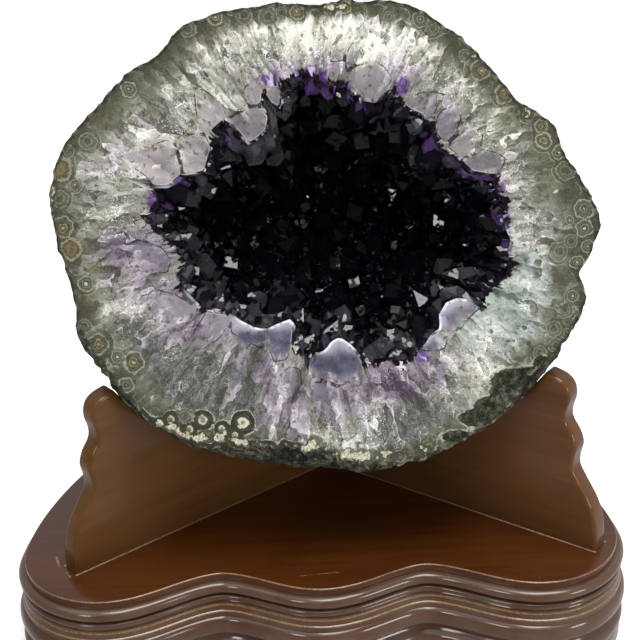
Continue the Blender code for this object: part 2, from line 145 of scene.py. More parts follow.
# Big crystals that the saw went through, with how violet each is
SAWN_CRYSTALS = (
    (0.1, (-100.2, 48.5), (-93.5, 51.3), (-85.1, 49.2), (-76.5, 52.4), (-72.4, 51.1),
     (-69.4, 36.5), (-70.2, 35.5), (-76.4, 30.6), (-83.1, 31), (-87, 36), (-94, 41.1)),
    (0.05, (-72, 51.7), (-69.2, 54), (-63.2, 54.9), (-56.6, 53.5), (-54.8, 48),
     (-58.6, 37.1), (-64.1, 36.1), (-68.5, 36.3), (-69, 42.6)),
    (0.0, (-61.5, 77), (-56.2, 75.6), (-51, 70.6), (-45.8, 65.9), (-41.4, 65.2),
     (-42.9, 63.5), (-48.5, 61.2), (-53.2, 57.4), (-56.2, 53.9), (-59.5, 56.6), (-60.9, 65)),
    (0.1, (-42, 63.2), (-34.9, 66.4), (-29.3, 66), (-26.4, 61.7), (-27.9, 55.7),
     (-32.9, 51.4), (-36.9, 49.7), (-39.2, 53.3), (-43, 58.4), (-45.5, 60.9)),
    (0.05, (-26.9, 72.6), (-24.4, 68.4), (-21, 66.6), (-20.2, 70.4), (-20.6, 75), (-23.6, 76.6)),
    (0.05, (-36.6, 76.7), (-33.8, 78.4), (-29.6, 78), (-29.1, 72.2), (-29.7, 67.8),
     (-35.1, 67.6), (-38.3, 71.3)),
    (0.15, (12.9, 80.2), (15.3, 83.7), (20.8, 85.3), (25.1, 86.9), (31, 83.3), (34, 78.2),
     (31.2, 71.9), (25.5, 67.5), (20.1, 68.7), (17.2, 71.9), (13.2, 76)),
    (0.35, (11.9, 81.8), (12.5, 90.4), (15.7, 95.6), (20, 95.2), (20.9, 90), (19.6, 87.1),
     (15.3, 85)),
    (0.0, (4, 87.1), (5.4, 93.6), (7.3, 96.5), (10.9, 95.2), (11.2, 87.4), (8.2, 86.9)),
    (0.05, (39.8, 65.4), (42.6, 68.3), (47.5, 70.5), (54.8, 70.5), (59.6, 69.3), (55.8, 64.2),
     (53.4, 58.9), (49.2, 57.6), (48.7, 60), (43.3, 62.6)),
    (0.45, (54.9, 57.6), (58.1, 61.7), (63, 63.9), (67.1, 57.8), (63.8, 49.9), (59.4, 46.2),
     (56.3, 48.9), (54.6, 52.3)),
    (0.05, (60.4, 43.7), (62.1, 46.5), (68.7, 51.7), (73.7, 53.9), (77.4, 48.9), (76, 43.6),
     (67.1, 38.2)),
    (0.1, (67.7, 36.5), (77, 42.2), (83.6, 40.3), (88, 37.4), (85.7, 30.5), (79.8, 30.2),
     (72.1, 31.9)),
    (0.3, (54.4, -41.9), (54.1, -37.9), (57.4, -32.7), (62.6, -30.7), (69.4, -32.3),
     (73.6, -35), (67.5, -40), (63, -45.8), (56.9, -45.7)),
    (0.55, (44.2, -54), (46.6, -51.8), (49, -48), (53, -45.4), (57.2, -50),
     (55, -54.6), (48.1, -55.4)),
    (0.75, (-10.8, -59.6), (-3, -53), (0.2, -49.7), (4.2, -47.9), (9, -51.4), (14.8, -59),
     (12.1, -65.6), (4.6, -70.4), (-3.9, -67.4), (-9.9, -64.2)),
    (0.55, (-11.3, -68.2), (-3.9, -68.4), (4.5, -72.7), (7.9, -81.5), (3.9, -87.5),
     (-4.6, -85.9), (-11.6, -76.9)),
    (0.6, (-48.4, -33.4), (-43.7, -37.6), (-37, -41.4), (-32.6, -42.3), (-32, -46.5),
     (-34.2, -50.7), (-42.2, -46.1), (-48.7, -42.1)),
    (0.85, (-31, -42.5), (-24.7, -39.6), (-20.4, -38.2), (-18.6, -40.3), (-19.4, -47.3),
     (-22, -56.2), (-28.6, -57.3), (-30.4, -51.4)),
    (0.7, (-98.3, 2.6), (-90.9, 4.9), (-80.4, 0.6), (-76.4, -5.6), (-78.2, -11.2),
     (-88.1, -12.4), (-96.4, -7.2)),
    (0.45, (-92.2, -22.6), (-82.4, -20.1), (-74.8, -22.5), (-64.2, -30), (-67.8, -34),
     (-78.3, -36), (-91.6, -33)),
    (0.4, (-60.4, -31.4), (-50.4, -33.1), (-50.2, -38.4), (-54.9, -45), (-63.1, -49.6),
     (-71.2, -50.5), (-66.3, -40.1)),
    (0.35, (-28.4, -66.3), (-20.7, -59.8), (-15.7, -61.5), (-15.5, -69.4), (-24, -80.1),
     (-29.9, -88.5), (-30.6, -76.1)),
    (0.25, (-93.6, 13.9), (-89, 15.4), (-87, 12.4), (-91, 9.4)),
)
# Agate eyes: place, radius and kind (0 grey-green, 1 brown heart, 2 rusty, 3 cream)
EYES = (
    (-113.6, 53.4, 4.8, 0), (-92.7, 77.5, 4.4, 0), (-63, 104.9, 4.4, 0), (-49.8, 110.1, 4.4, 1),
    (-42, 113.1, 2.9, 0), (-35.8, 110.5, 4.4, 0), (-24.4, 109.6, 5.3, 0), (-18.1, 111.3, 2.9, 0),
    (-10.3, 111, 4.4, 1), (-123.9, 49, 3.9, 0), (-127.7, 40.5, 6.3, 2), (-128.5, 26.1, 4.8, 0),
    (-127.8, 12.5, 6.3, 1), (-124.4, 1.8, 5.8, 2), (-118.1, -15.5, 4.4, 0), (-120.1, -35.9, 3.9, 0),
    (-113.8, -45, 6.3, 1), (-104.9, -51.8, 3.4, 0), (-96.7, -54.6, 6.3, 1),
    (-101.2, -65.7, 4.4, 0), (-85.1, -86.5, 2.9, 3), (-80.1, -83.4, 2.9, 3), (-78.9, -89.3, 3.4, 3),
    (-73, -82.6, 3.4, 0), (-71.3, -88.8, 2.9, 3), (-64.5, -84.5, 3.6, 3), (-55.4, -89.2, 2.9, 3),
    (-49.1, -92.6, 2.4, 3), (-45, -86.6, 4.4, 3), (33.8, 107.1, 2.9, 0), (48.9, 105.5, 4.4, 0),
    (54.4, 101, 3.9, 0), (70.1, 87.6, 3.4, 0), (77.3, 80.1, 5.8, 1), (88.2, 68.3, 5.3, 1),
    (99.8, 57.9, 3.4, 0), (105.7, 52.2, 3.9, 1), (106.9, 45.2, 4.8, 1), (114.2, 39.2, 3.9, 0),
    (117.3, 30.4, 5.3, 0), (125.7, 11.2, 5.6, 0), (118.6, 6.1, 2.4, 0), (125.6, 2, 4.8, 0),
    (112.9, -8.8, 5.3, 0), (118.9, -4.1, 3.9, 0), (126.9, -7.1, 3.6, 0), (121.6, -14.6, 3.9, 0),
    (109.4, -46.9, 4.4, 0), (102.2, -58.5, 3.9, 0), (109.8, -55, 3.9, 0), (115.2, -49.4, 2.9, 0),
    (46.5, -101.8, 4.4, 1), (31.5, -106.6, 3.4, 0), (12.8, 112.6, 3.4, 2), (4.6, 112, 2.9, 2),
    (-120.9, 32.5, 2.9, 0), (85.6, 77.5, 2.9, 0), (119.1, -31.1, 3.4, 0), (115.1, -37.8, 2.9, 0),
)
# Patches on the face: place, reach across, reach up, strength
VIOLET_PATCHES = (
    (-16, 82, 14, 8, 0.8), (4, 84, 11, 9, 0.7), (38, 80, 11, 10, 0.6),
    (60, 62, 10, 12, 0.5), (-30, 84, 12, 10, 0.35), (-78, 55, 16, 10, 0.3),
    (-92, -2, 16, 15, 0.9), (-84, 12, 12, 8, 0.6), (-80, -22, 18, 12, 0.75),
    (-62, -38, 20, 12, 0.75), (-36, -56, 16, 15, 0.6), (-22, -78, 12, 20, 0.8),
    (4, -76, 18, 18, 0.75), (28, -70, 18, 12, 0.85), (46, -64, 12, 12, 0.7),
    (86, 24, 8, 12, 0.5), (92, -8, 7, 10, 0.3), (58, -54, 12, 10, 0.45),
    (-100, 44, 16, 9, 0.4),
)
VIVID_PATCHES = (
    (-25, 80, 6, 5, 1), (-6, 82, 7, 4.5, 1), (2, 79, 6, 5, 1),
    (8.9, 74, 5, 4, 1), (17, 67, 6, 4, 1), (38, 74, 6, 5, 1),
    (45, 64, 4, 5, 0.8), (54, 50, 4, 8, 0.8), (64, 37, 5, 4, 0.8),
    (74, 30, 5, 4, 0.8), (82, 23, 6, 6, 1), (87, 8, 4, 9, 0.8),
    (87, -8, 4, 8, 0.8), (44, -58.5, 5, 4, 1), (-84, 22, 5, 6, 0.9),
    (-48, 55, 6, 5, 0.9), (-69, 32, 5, 4, 0.8),
)
BLUISH_PATCHES = (
    (-39.5, -44, 9, 5, 0.9), (-25, -46, 6, 9, 1), (-5, -56, 9, 7, 0.9),
    (5, -60, 10, 8, 0.9), (58, -40, 7, 6, 0.6), (48, -52, 6, 5, 0.6),
)
# Milky quartz, partly painted light: the strongest patches, at the top of the face, whiten it for the
# light falling there
MILKY_AND_TOP_LIT_PATCHES = (
    (-3, 100, 38, 12, 1.3), (-40, 92, 16, 10, 0.3), (30, 97, 24, 12, 1.1),
    (66, 72, 16, 12, 0.55), (84, 52, 15, 14, 0.5), (94, 30, 12, 14, 0.5),
    (-98, 42, 15, 10, 0.45), (-70, 64, 14, 10, 0.25), (-104, 16, 16, 8, 0.6),
    (-96, -28, 16, 8, 0.45), (6, -98, 26, 7, 0.8), (24, -88, 14, 8, 0.4),
    (66, -66, 14, 14, 0.6), (96, 6, 12, 12, 0.5), (-92, 58, 14, 10, 0.25),
)
MINT_PATCHES = (
    (80, -36, 20, 14, 1), (102, -20, 16, 16, 0.9), (92, -52, 14, 12, 0.8),
    (98, 4, 12, 14, 0.5), (70, -46, 12, 10, 0.8),
)
GRITTY_PATCHES = (
    (-76, -66, 32, 18, 1), (-44, -78, 20, 18, 1), (-96, -46, 20, 16, 0.7),
    (36, -92, 28, 12, 1), (-58, -62, 24, 14, 0.8),
)
CREAM_PATCHES = (
    (-85.6, -86.1, 5, 3.5, 0.9), (-79.8, -89.5, 5, 3.5, 1), (-73.6, -92.6, 5, 3, 1),
    (-66.4, -93.4, 5, 3, 0.9), (-56.5, -93.3, 6, 3, 0.9), (-46.8, -96.2, 7, 2.5, 0.8),
    (-37.1, -99.1, 8, 2.5, 0.7), (-15, -101, 10, 3.2, 0.9), (8, -106, 12, 3.6, 1),
    (24, -105, 9, 2.5, 0.8), (-12.5, -99.2, 6, 4, 0.7), (76, 87, 4, 3, 0.8),
    (99, 60, 3, 5, 0.7), (8, 113, 9, 2.2, 0.8), (-133, 30, 2.5, 8, 0.8),
    (-124, -42, 3, 6, 0.7), (44, -104, 4, 3, 0.7),
)
MOSSY_PATCHES = (
    (78, -84, 9, 5, 1), (86, -78.5, 9, 6, 1), (95, -71, 9, 6, 1),
    (71, -89, 9, 4.5, 1), (103, -64, 5, 5, 0.8), (88, -71.5, 10, 5.5, 1),
    (60, -98, 8, 3, 0.9),
)
# Paler grey crystals: partly real, partly painted light where the facets near the opening catch it
SMOKY_AND_LIT_PATCHES = (
    (-52, 45, 18, 12, 1), (-30, 60, 10, 16, 0.9), (-20, 72, 8, 8, 0.8),
    (-62, 10, 18, 24, 0.9), (-55, -18, 18, 14, 0.9), (-40, -33, 18, 8, 0.8),
    (-12, -46, 10, 10, 0.9), (28, -54, 16, 7, 0.9), (60, -22, 14, 8, 0.6),
    (30, 60, 16, 9, 0.8), (60, 36, 14, 8, 0.5), (45, -45, 8, 8, 0.8),
    (-2, 70, 14, 8, 0.6),
)
# Edges of the hollow that catch the light: place, reach across, reach up, strength
LIT_EDGES = (
    (-40, -38, 10, 6, 1), (-24, -38, 8, 6, 1), (2, -50, 12, 7, 1),
    (60, -33, 10, 7, 1), (54, -41, 5, 6, 0.9), (22, 67, 9, 5, 0.5),
    (-77, 30, 12, 5, 0.5), (-62, 35, 8, 4, 0.4), (88, -2, 5, 14, 0.5),
    (-68, -24, 8, 10, 0.5), (46, -49, 7, 6, 0.6),
)
# Width of the agate rind at bearings round the face, mm
RIND_WIDTHS = (
    (0, 17), (18, 19), (30, 15), (45, 13), (60, 12), (78, 10), (92, 9), (105, 11), (122, 13),
    (140, 14), (155, 14), (168, 12), (182, 11), (195, 12), (208, 13), (220, 11), (232, 8),
    (250, 6), (264, 4), (275, 3), (286, 7), (300, 10), (312, 9), (326, 11), (340, 11), (350, 14),
)

# Marks on the plinth's wood, with the depth and reach of the arrises that carry gold wear and a painted
# highlight, mm
# The grey dust on the plinth's sides is partly painted sheen, and the gold on its arrises is partly
# painted highlight
DUST_AND_SHEEN, GOLD_WEAR_AND_HIGHLIGHT = (0.19, 0.15, 0.112), (0.34, 0.19, 0.075)
PALE_JOINT, SCRATCHED, NICKED = (0.46, 0.34, 0.22), (0.33, 0.2, 0.11), (0.3, 0.17, 0.08)
ARRISES = (17.5, 0.55), (21.0, 0.6), (0.45, 0.4)

# Rings of the agate eyes from the middle out: plain, ringed, brown hearted and cream
EYE_RINGS = (
    ((0.0, (0.105, 0.105, 0.075)), (0.25, (0.065, 0.067, 0.045)), (0.4, (0.125, 0.125, 0.092)),
     (0.47, (0.27, 0.27, 0.21)), (0.53, (0.105, 0.108, 0.078)), (0.8, (0.125, 0.128, 0.094)),
     (0.88, (0.36, 0.36, 0.29)), (0.93, (0.13, 0.132, 0.098))),
    ((0.0, (0.6, 0.6, 0.5)), (0.1, (0.34, 0.34, 0.27)), (0.16, (0.045, 0.045, 0.03)),
     (0.3, (0.095, 0.097, 0.068)), (0.37, (0.3, 0.3, 0.23)), (0.43, (0.065, 0.067, 0.045)),
     (0.62, (0.125, 0.128, 0.094)), (0.72, (0.075, 0.077, 0.053)), (0.85, (0.38, 0.38, 0.3)),
     (0.91, (0.13, 0.132, 0.098))),
    ((0.0, (0.66, 0.6, 0.38)), (0.1, (0.24, 0.19, 0.085)), (0.26, (0.085, 0.062, 0.03)),
     (0.33, (0.36, 0.33, 0.21)), (0.4, (0.04, 0.038, 0.022)), (0.56, (0.135, 0.132, 0.088)),
     (0.64, (0.05, 0.05, 0.032)), (0.8, (0.42, 0.41, 0.31)), (0.88, (0.105, 0.107, 0.074))),
    ((0.0, (0.6, 0.56, 0.36)), (0.2, (0.13, 0.125, 0.08)), (0.34, (0.58, 0.56, 0.4)),
     (0.55, (0.76, 0.75, 0.58)), (0.68, (0.055, 0.058, 0.038)), (0.98, (0.075, 0.078, 0.053))),
)
RUSTY_RINGS = (
    (0.2, (0.11, 0.075, 0.032)), (0.55, (0.23, 0.18, 0.085)), (0.9, (0.065, 0.055, 0.032)),
    (1.0, (0.34, 0.32, 0.22)),
)
# Shades of the quartz from dark to light: white, mauve, mint and vivid violet, then grit
QUARTZ_SHADES = (
    ((0.26, (0.06, 0.061, 0.048)), (0.4, (0.18, 0.18, 0.148)), (0.53, (0.325, 0.32, 0.272)),
     (0.68, (0.6, 0.585, 0.5)), (0.84, (0.92, 0.9, 0.79))),
    ((0.26, (0.07, 0.05, 0.085)), (0.4, (0.18, 0.148, 0.19)), (0.54, (0.33, 0.29, 0.335)),
     (0.7, (0.6, 0.56, 0.6)), (0.86, (0.9, 0.87, 0.9))),
    ((0.26, (0.15, 0.185, 0.165)), (0.42, (0.325, 0.375, 0.34)), (0.56, (0.5, 0.55, 0.505)),
     (0.78, (0.86, 0.89, 0.85))),
    ((0.3, (0.012, 0.004, 0.026)), (0.44, (0.07, 0.03, 0.125)), (0.58, (0.18, 0.105, 0.28)),
     (0.78, (0.66, 0.58, 0.76))),
)
GRIT_SHADES = (
    (0.26, (0.062, 0.064, 0.056)), (0.42, (0.12, 0.122, 0.113)), (0.56, (0.205, 0.206, 0.2)),
    (0.72, (0.4, 0.4, 0.4)),
)
# Shades of the sawn crystals: clear, violet, and a darker copy laid as painted shade; then of the skin:
# green and brown
SAWN_SHADES = (
    ((0.34, (0.29, 0.262, 0.262)), (0.5, (0.375, 0.338, 0.336)), (0.68, (0.49, 0.448, 0.44))),
    ((0.34, (0.125, 0.105, 0.165)), (0.5, (0.195, 0.17, 0.24)), (0.68, (0.3, 0.265, 0.345))),
    ((0.34, (0.155, 0.141, 0.15)), (0.5, (0.218, 0.199, 0.208)), (0.68, (0.315, 0.29, 0.3))),
)
SKIN_SHADES = (
    ((0.52, (0.012, 0.014, 0.008)), (0.68, (0.046, 0.05, 0.03)), (0.84, (0.15, 0.15, 0.1))),
    ((0.52, (0.014, 0.011, 0.007)), (0.68, (0.062, 0.05, 0.031)), (0.84, (0.18, 0.155, 0.105))),
)
# What the face's points and triangles carry for its finish
FACE_MEASURES = (
    "rim", "hollow", "seam", "bank", "rind_depth", "milky", "violet", "mint", "gritty", "lit_edge",
    "vivid", "bluish", "cream", "mossy", "sawn", "sawn_violet", "eye_kind",
)

# Crystals: width, how many are tried, and how close they may stand
CRYSTAL_SIZES = (12.0, 500, 0.86), (9.0, 1500, 0.8), (6.5, 5000, 0.7), (4.6, 9000, 0.62)
CRYSTAL_STRAY, BOWL_ACROSS, BOWL_UP = 0.27, 80.0, 62.0
# Clear crystals: tint, absorbed colour and its density, and how much light goes through
DEEP_CLEAR = (0.03, 0.02, 0.045), (0.4, 0.2, 0.66), 420.0, 0.9
BRIGHT_CLEAR = (0.19, 0.085, 0.33), (0.5, 0.2, 0.74), 120.0, 0.72
# The smoky copy is lighter: grey crystals, partly painted light
SMOKY_AND_LIT_CLEAR = (0.125, 0.12, 0.14), (0.6, 0.56, 0.66), 150.0, 0.72
# Places of the crystals' materials on their piece
DEEP, BRIGHT, FEET, SMOKY_AND_LIT = range(4)


def stone_points(points):
    """From the stone's own measures u, d, v in mm to metres."""
    u, d, v = points[:, 0], points[:, 1], points[:, 2]
    lean_cos, lean_sin = math.cos(FACE_LEAN), math.sin(FACE_LEAN)
    return np.stack((FACE_CENTRE[0] + u, FACE_CENTRE[1] + d * lean_cos + v * lean_sin,
                     FACE_CENTRE[2] - d * lean_sin + v * lean_cos), axis=1) * MM


# Nodes

class Nodes:
    """The nodes of a finish, put down and joined in short steps.

    A value is a number, a colour or another node's socket. A share is a value, or a value with
    the limits that it is taken between.
    """

    def __init__(self, tree):
        self.tree = tree

    def join(self, value, socket):
        if isinstance(value, bpy.types.NodeSocket):
            self.tree.links.new(value, socket)
        elif isinstance(value, tuple) and socket.type == "RGBA":
            socket.default_value = (*value, 1.0)
        else:
            socket.default_value = value

    def put(self, kind, settings=None, **inputs):
        made = self.tree.nodes.new("ShaderNode" + kind)
        for key, value in (settings or {}).items():
            setattr(made, key, value)
        for key, value in inputs.items():
            self.join(value, made.inputs[key])
        return made

    def put_in_order(self, kind, settings, values):
        made = self.put(kind, settings)
        for socket, value in zip(made.inputs, values):
            self.join(value, socket)
        return made

    def surface(self, **inputs):
        shader = self.tree.nodes["Principled BSDF"]
        for key, value in inputs.items():
            self.join(value, shader.inputs[key.replace("_", " ")])

    def maths(self, operation, *values):
        return self.put_in_order("Math", {"operation": operation}, values).outputs[0]

    def vector(self, operation, *values, output="Vector"):
        return self.put_in_order("VectorMath", {"operation": operation}, values).outputs[output]

    def between(self, *value_and_limits):
        """Smoothly from 0 to 1, or the third limit to the fourth, between the first two limits."""
        settings = {"interpolation_type": "SMOOTHSTEP"}
        return self.put_in_order("MapRange", settings, value_and_limits).outputs[0]

    def summed(self, start, *parts):
        """A number with shares of other values added to it."""
        for value, share in parts:
            start = self.maths("MULTIPLY_ADD", value, share, start)
        return start

    def product(self, *shares):
        values = [self.between(*share) if isinstance(share, tuple) else share for share in shares]
        total = values[0]
        for value in values[1:]:
            total = self.maths("MULTIPLY", total, value)
        return total

    def apart(self, value, other):
        return self.maths("ABSOLUTE", self.maths("SUBTRACT", value, other))

    def mix(self, share, under, over, way="MIX"):
        made = self.put("Mix", {"data_type": "RGBA", "blend_type": way})
        for index, value in ((0, share), (6, under), (7, over)):
            self.join(value, made.inputs[index])
        return made.outputs[2]

    def coats(self, under, *layers):
        """Layers of colour laid over the first one, each where all of its shares say so."""
        for colour, *shares in layers:
            under = self.mix(self.product(*shares), under, colour)
        return under

    def ramp(self, value, *stops):
        """Colours along a value, each with its place."""
        made = self.put_in_order("ValToRGB", {}, (value,))
        entries = made.color_ramp.elements
        while len(entries) < len(stops):
            entries.new(0.5)
        for entry, (place, colour) in zip(entries, stops):
            entry.position = place
            entry.color = (*colour, 1.0)
        return made.outputs[0]

    def mottle(self, vector, scale, detail=4.0, roughness=0.5, distortion=0.0, output="Fac"):
        return self.put("TexNoise", Vector=vector, Scale=scale, Detail=detail,
                        Roughness=roughness, Distortion=distortion).outputs[output]

    def cells(self, vector, scale, feature="F1"):
        return self.put("TexVoronoi", {"feature": feature}, Vector=vector, Scale=scale).outputs

    def facets(self, vector, scale, slope_share=1.6):
        """Patches with hard edges, each with a shade and a slope of its own, as broken quartz has."""
        cell = self.cells(vector, scale)
        offset = self.vector("SUBTRACT", vector, cell["Position"])
        way = self.vector("SUBTRACT", cell["Color"], (0.5, 0.5, 0.5))
        slope = self.vector("DOT_PRODUCT", offset, way, output="Value")
        return self.maths("MULTIPLY_ADD", slope, slope_share * scale, cell["Color"])

    def in_millimetres(self):
        place = self.put("TexCoord").outputs["Object"]
        return self.put("VectorMath", {"operation": "SCALE"}, Vector=place, Scale=1 / MM).outputs[0]

    def stretched(self, vector, scale=(1.0, 1.0, 1.0), turn=(0.0, 0.0, 0.0)):
        return self.put("Mapping", Vector=vector, Scale=scale, Rotation=turn).outputs[0]

    def along_and_across(self, vector, start, turn):
        """Distances along and across a line on the plinth's top."""
        turned = self.put("Mapping", {"vector_type": "TEXTURE"}, Vector=vector,
                          Location=(*start, 0.0), Rotation=(0.0, 0.0, turn)).outputs[0]
        split = self.put("SeparateXYZ", Vector=turned).outputs
        return split["X"], self.maths("ABSOLUTE", split["Y"])

    def attribute(self, name, output="Fac"):
        return self.put("Attribute", {"attribute_name": name}).outputs[output]

    def bump(self, height, distance, strength=1.0, normal=None):
        made = self.put("Bump", Height=height, Strength=strength, Distance=distance)
        if normal is not None:
            self.join(normal, made.inputs["Normal"])
        return made.outputs["Normal"]


def start_material(name):
    material = bpy.data.materials.new(name)
    material.use_nodes = True
    return material, Nodes(material.node_tree)


# Finishes

def lacquered_wood(name, board_turn, shades, of_plinth=False):
    """Stained and lacquered wood: dark, middle and light shade, with the grain along the board."""
    material, n = start_material(name)
    place = n.in_millimetres()
    in_line = n.stretched(place, turn=(0.0, 0.0, -board_turn))
    figure = n.mottle(n.stretched(in_line, (0.012, 0.16, 0.16)), 1.0, 5.0, 0.55, 0.3)
    pores = n.mottle(n.stretched(in_line, (0.08, 2.6, 2.6)), 1.0, 2.0)
    cloud = n.mottle(place, 0.018, 3.0)
    dark, middle, light = shades
    wood = n.coats(n.ramp(figure, (0.25, dark), (0.5, middle), (0.75, light)),
                   (light, (cloud, 0.35, 0.7, 0.0, 0.5)),
                   (tuple(v * 0.4 for v in dark), (pores, 0.58, 0.7, 0.0, 0.2)))
    if of_plinth:
        wood = plinth_marks(n, place, wood, pores)
    n.surface(Base_Color=wood, Roughness=n.between(cloud, 0.3, 0.7, 0.36, 0.48),
              Normal=n.bump(pores, 0.00003, 0.4), Specular_IOR_Level=0.12,
              Coat_Weight=1.0 if of_plinth else 0.8, Coat_Roughness=0.13,
              Coat_IOR=1.6 if of_plinth else 1.5)
    return material


def plinth_marks(n, place, wood, pores):
    """Sides greyed by dust and painted sheen, gold wear and a painted highlight on the thin arrises,
    pale joints at the boards' feet, scratches.
    """
    depth = n.maths("SUBTRACT", PLINTH_HEIGHT, n.put("SeparateXYZ", Vector=place).outputs["Z"])
    patchy_mottle = n.mottle(place, 0.6, 4.0, 0.7)
    clouded = n.summed(0.0, (n.mottle(place, 0.04, 3.0), 0.85), (patchy_mottle, 0.15))
    # Painted sheen with the dust: the sides below the top's arris are greyed in clouds
    wood = n.coats(wood, (DUST_AND_SHEEN, (depth, 1.5, 5.0), (clouded, 0.35, 0.65, 0.14, 0.34)))
    # Painted highlight with the wear: gold lines along the thin arrises
    for height, reach in ARRISES:
        wood = n.coats(wood, (GOLD_WEAR_AND_HIGHLIGHT, (n.apart(depth, height), reach, reach * 0.4),
                              (patchy_mottle, 0.35, 0.6, 0.35, 0.95)))
    on_top = n.between(depth, 0.3, 0.1)
    for side in (-1, 1):
        along, across = n.along_and_across(place, CROSSING, -side * BOARD_ANGLE)
        off = n.apart(across, BOARD_THICKNESS / 2 + 0.25)
        wood = n.coats(wood, (PALE_JOINT, (off, 0.85, 0.45),
                              (n.maths("ABSOLUTE", along), FRONT_REACH + 0.6, FRONT_REACH), on_top,
                              (patchy_mottle, 0.35, 0.65, 0.45, 1.0)))
    for start, end, reach in SCRATCHES:
        run, rise = end[0] - start[0], end[1] - start[1]
        length = math.hypot(run, rise)
        along, across = n.along_and_across(place, start, math.atan2(rise, run))
        wood = n.coats(wood, (SCRATCHED, (across, reach, reach * 0.3), (along, 0.0, 1.0),
                              (along, length, length - 1.0), (patchy_mottle, 0.42, 0.55), on_top))
    nicks = n.cells(n.stretched(place, (0.045, 0.06, 0.06), (0.0, 0.0, 0.5)), 1.0)["Distance"]
    return n.coats(wood, (NICKED, (nicks, 0.03, 0.015), (pores, 0.4, 0.55), 0.7))


def agate_eyes(n, t):
    """Ringed eyes of the rind: their colour and how much of it shows."""
    from_eye = n.vector("LENGTH", n.put("UVMap", {"uv_map": "eyes"}).outputs[0], output="Value")
    reach = n.summed(from_eye, (n.mottle(t.place, 0.33, 3.0), 0.7), (n.mottle(t.place, 1.3, 2.0), 0.22))
    reach = n.maths("SUBTRACT", reach, 0.46)
    kind, seed = t.eye_kind, n.attribute("eye_seed")
    plain, ringed, brown, cream = [n.ramp(reach, *rings) for rings in EYE_RINGS]
    rusty = n.ramp(n.summed(reach, (t.fine, 0.5)), *RUSTY_RINGS)
    eye = n.coats(plain, (ringed, (seed, 0.45, 0.55)), (brown, (kind, 0.4, 0.6)),
                  (rusty, (kind, 1.4, 1.6)), (cream, (kind, 2.4, 2.6)),
                  (t.rind, (t.fine, 0.45, 0.75, 0.0, 0.3)))
    return eye, n.product((reach, 0.97, 0.9), (seed, 0.0, 1.0, 0.7, 1.0))


def face_textures(n):
    """Values that the layers of the sawn face share: distances, patches, clouds and facets."""
    t = SimpleNamespace()
    for name in FACE_MEASURES:
        setattr(t, name, n.attribute(name))
    t.place = n.in_millimetres()
    t.across = n.put("SeparateXYZ", Vector=t.place).outputs["X"]
    t.broad = n.mottle(t.place, 0.05, 4.0)
    t.middling = n.mottle(t.place, 0.22, 5.0, 0.6)
    t.fine = n.mottle(t.place, 1.1, 4.0, 0.7)
    t.sugar = n.mottle(t.place, 2.2, 2.0, 0.6)
    warp = n.mottle(t.place, 0.12, 2.0, output="Color")
    t.bent = n.vector("MULTIPLY_ADD", warp, (3.2, 3.2, 2.2), n.attribute("streak", "Vector"))
    t.feathers = n.mottle(t.bent, 0.28, 5.0, 0.52)
    t.blades, t.shards = n.facets(t.bent, 0.15), n.facets(t.bent, 0.34)
    t.splinters, t.sparks = n.facets(t.bent, 0.8), n.facets(t.place, 1.25)
    t.shard_edge = n.cells(t.bent, 0.34, "DISTANCE_TO_EDGE")["Distance"]
    return t


def agate_rind(n, t):
    """Grey-green agate round the stone, browner on the left."""
    clouded = n.summed(-0.5, (t.feathers, 0.55), (t.shards, 0.3), (t.splinters, 0.15))
    rind = n.ramp(n.summed(t.broad, (t.fine, 0.16)), (0.4, (0.078, 0.079, 0.05)),
                  (0.58, (0.12, 0.119, 0.08)), (0.74, (0.185, 0.183, 0.128)))
    return n.coats(
        rind, ((0.054, 0.052, 0.031), (t.rim, 11.0, 0.5, 0.0, 0.7)),
        ((0.08, 0.06, 0.028), (t.across, -85.0, -112.0), (t.rim, 7.0, 1.0),
         (t.middling, 0.38, 0.6, 0.2, 0.9)),
        ((0.225, 0.22, 0.162), (t.rind_depth, 4.0, 14.0, 0.0, 0.55)),
        ((0.27, 0.268, 0.215), (clouded, 0.0, 0.3, 0.0, 0.5)),
        ((0.055, 0.055, 0.036), (clouded, -0.02, -0.22, 0.0, 0.6)),
        ((0.3, 0.3, 0.24), (t.sugar, 0.6, 0.72, 0.0, 0.3)),
        ((0.06, 0.06, 0.042), (t.sugar, 0.4, 0.3, 0.0, 0.5)))


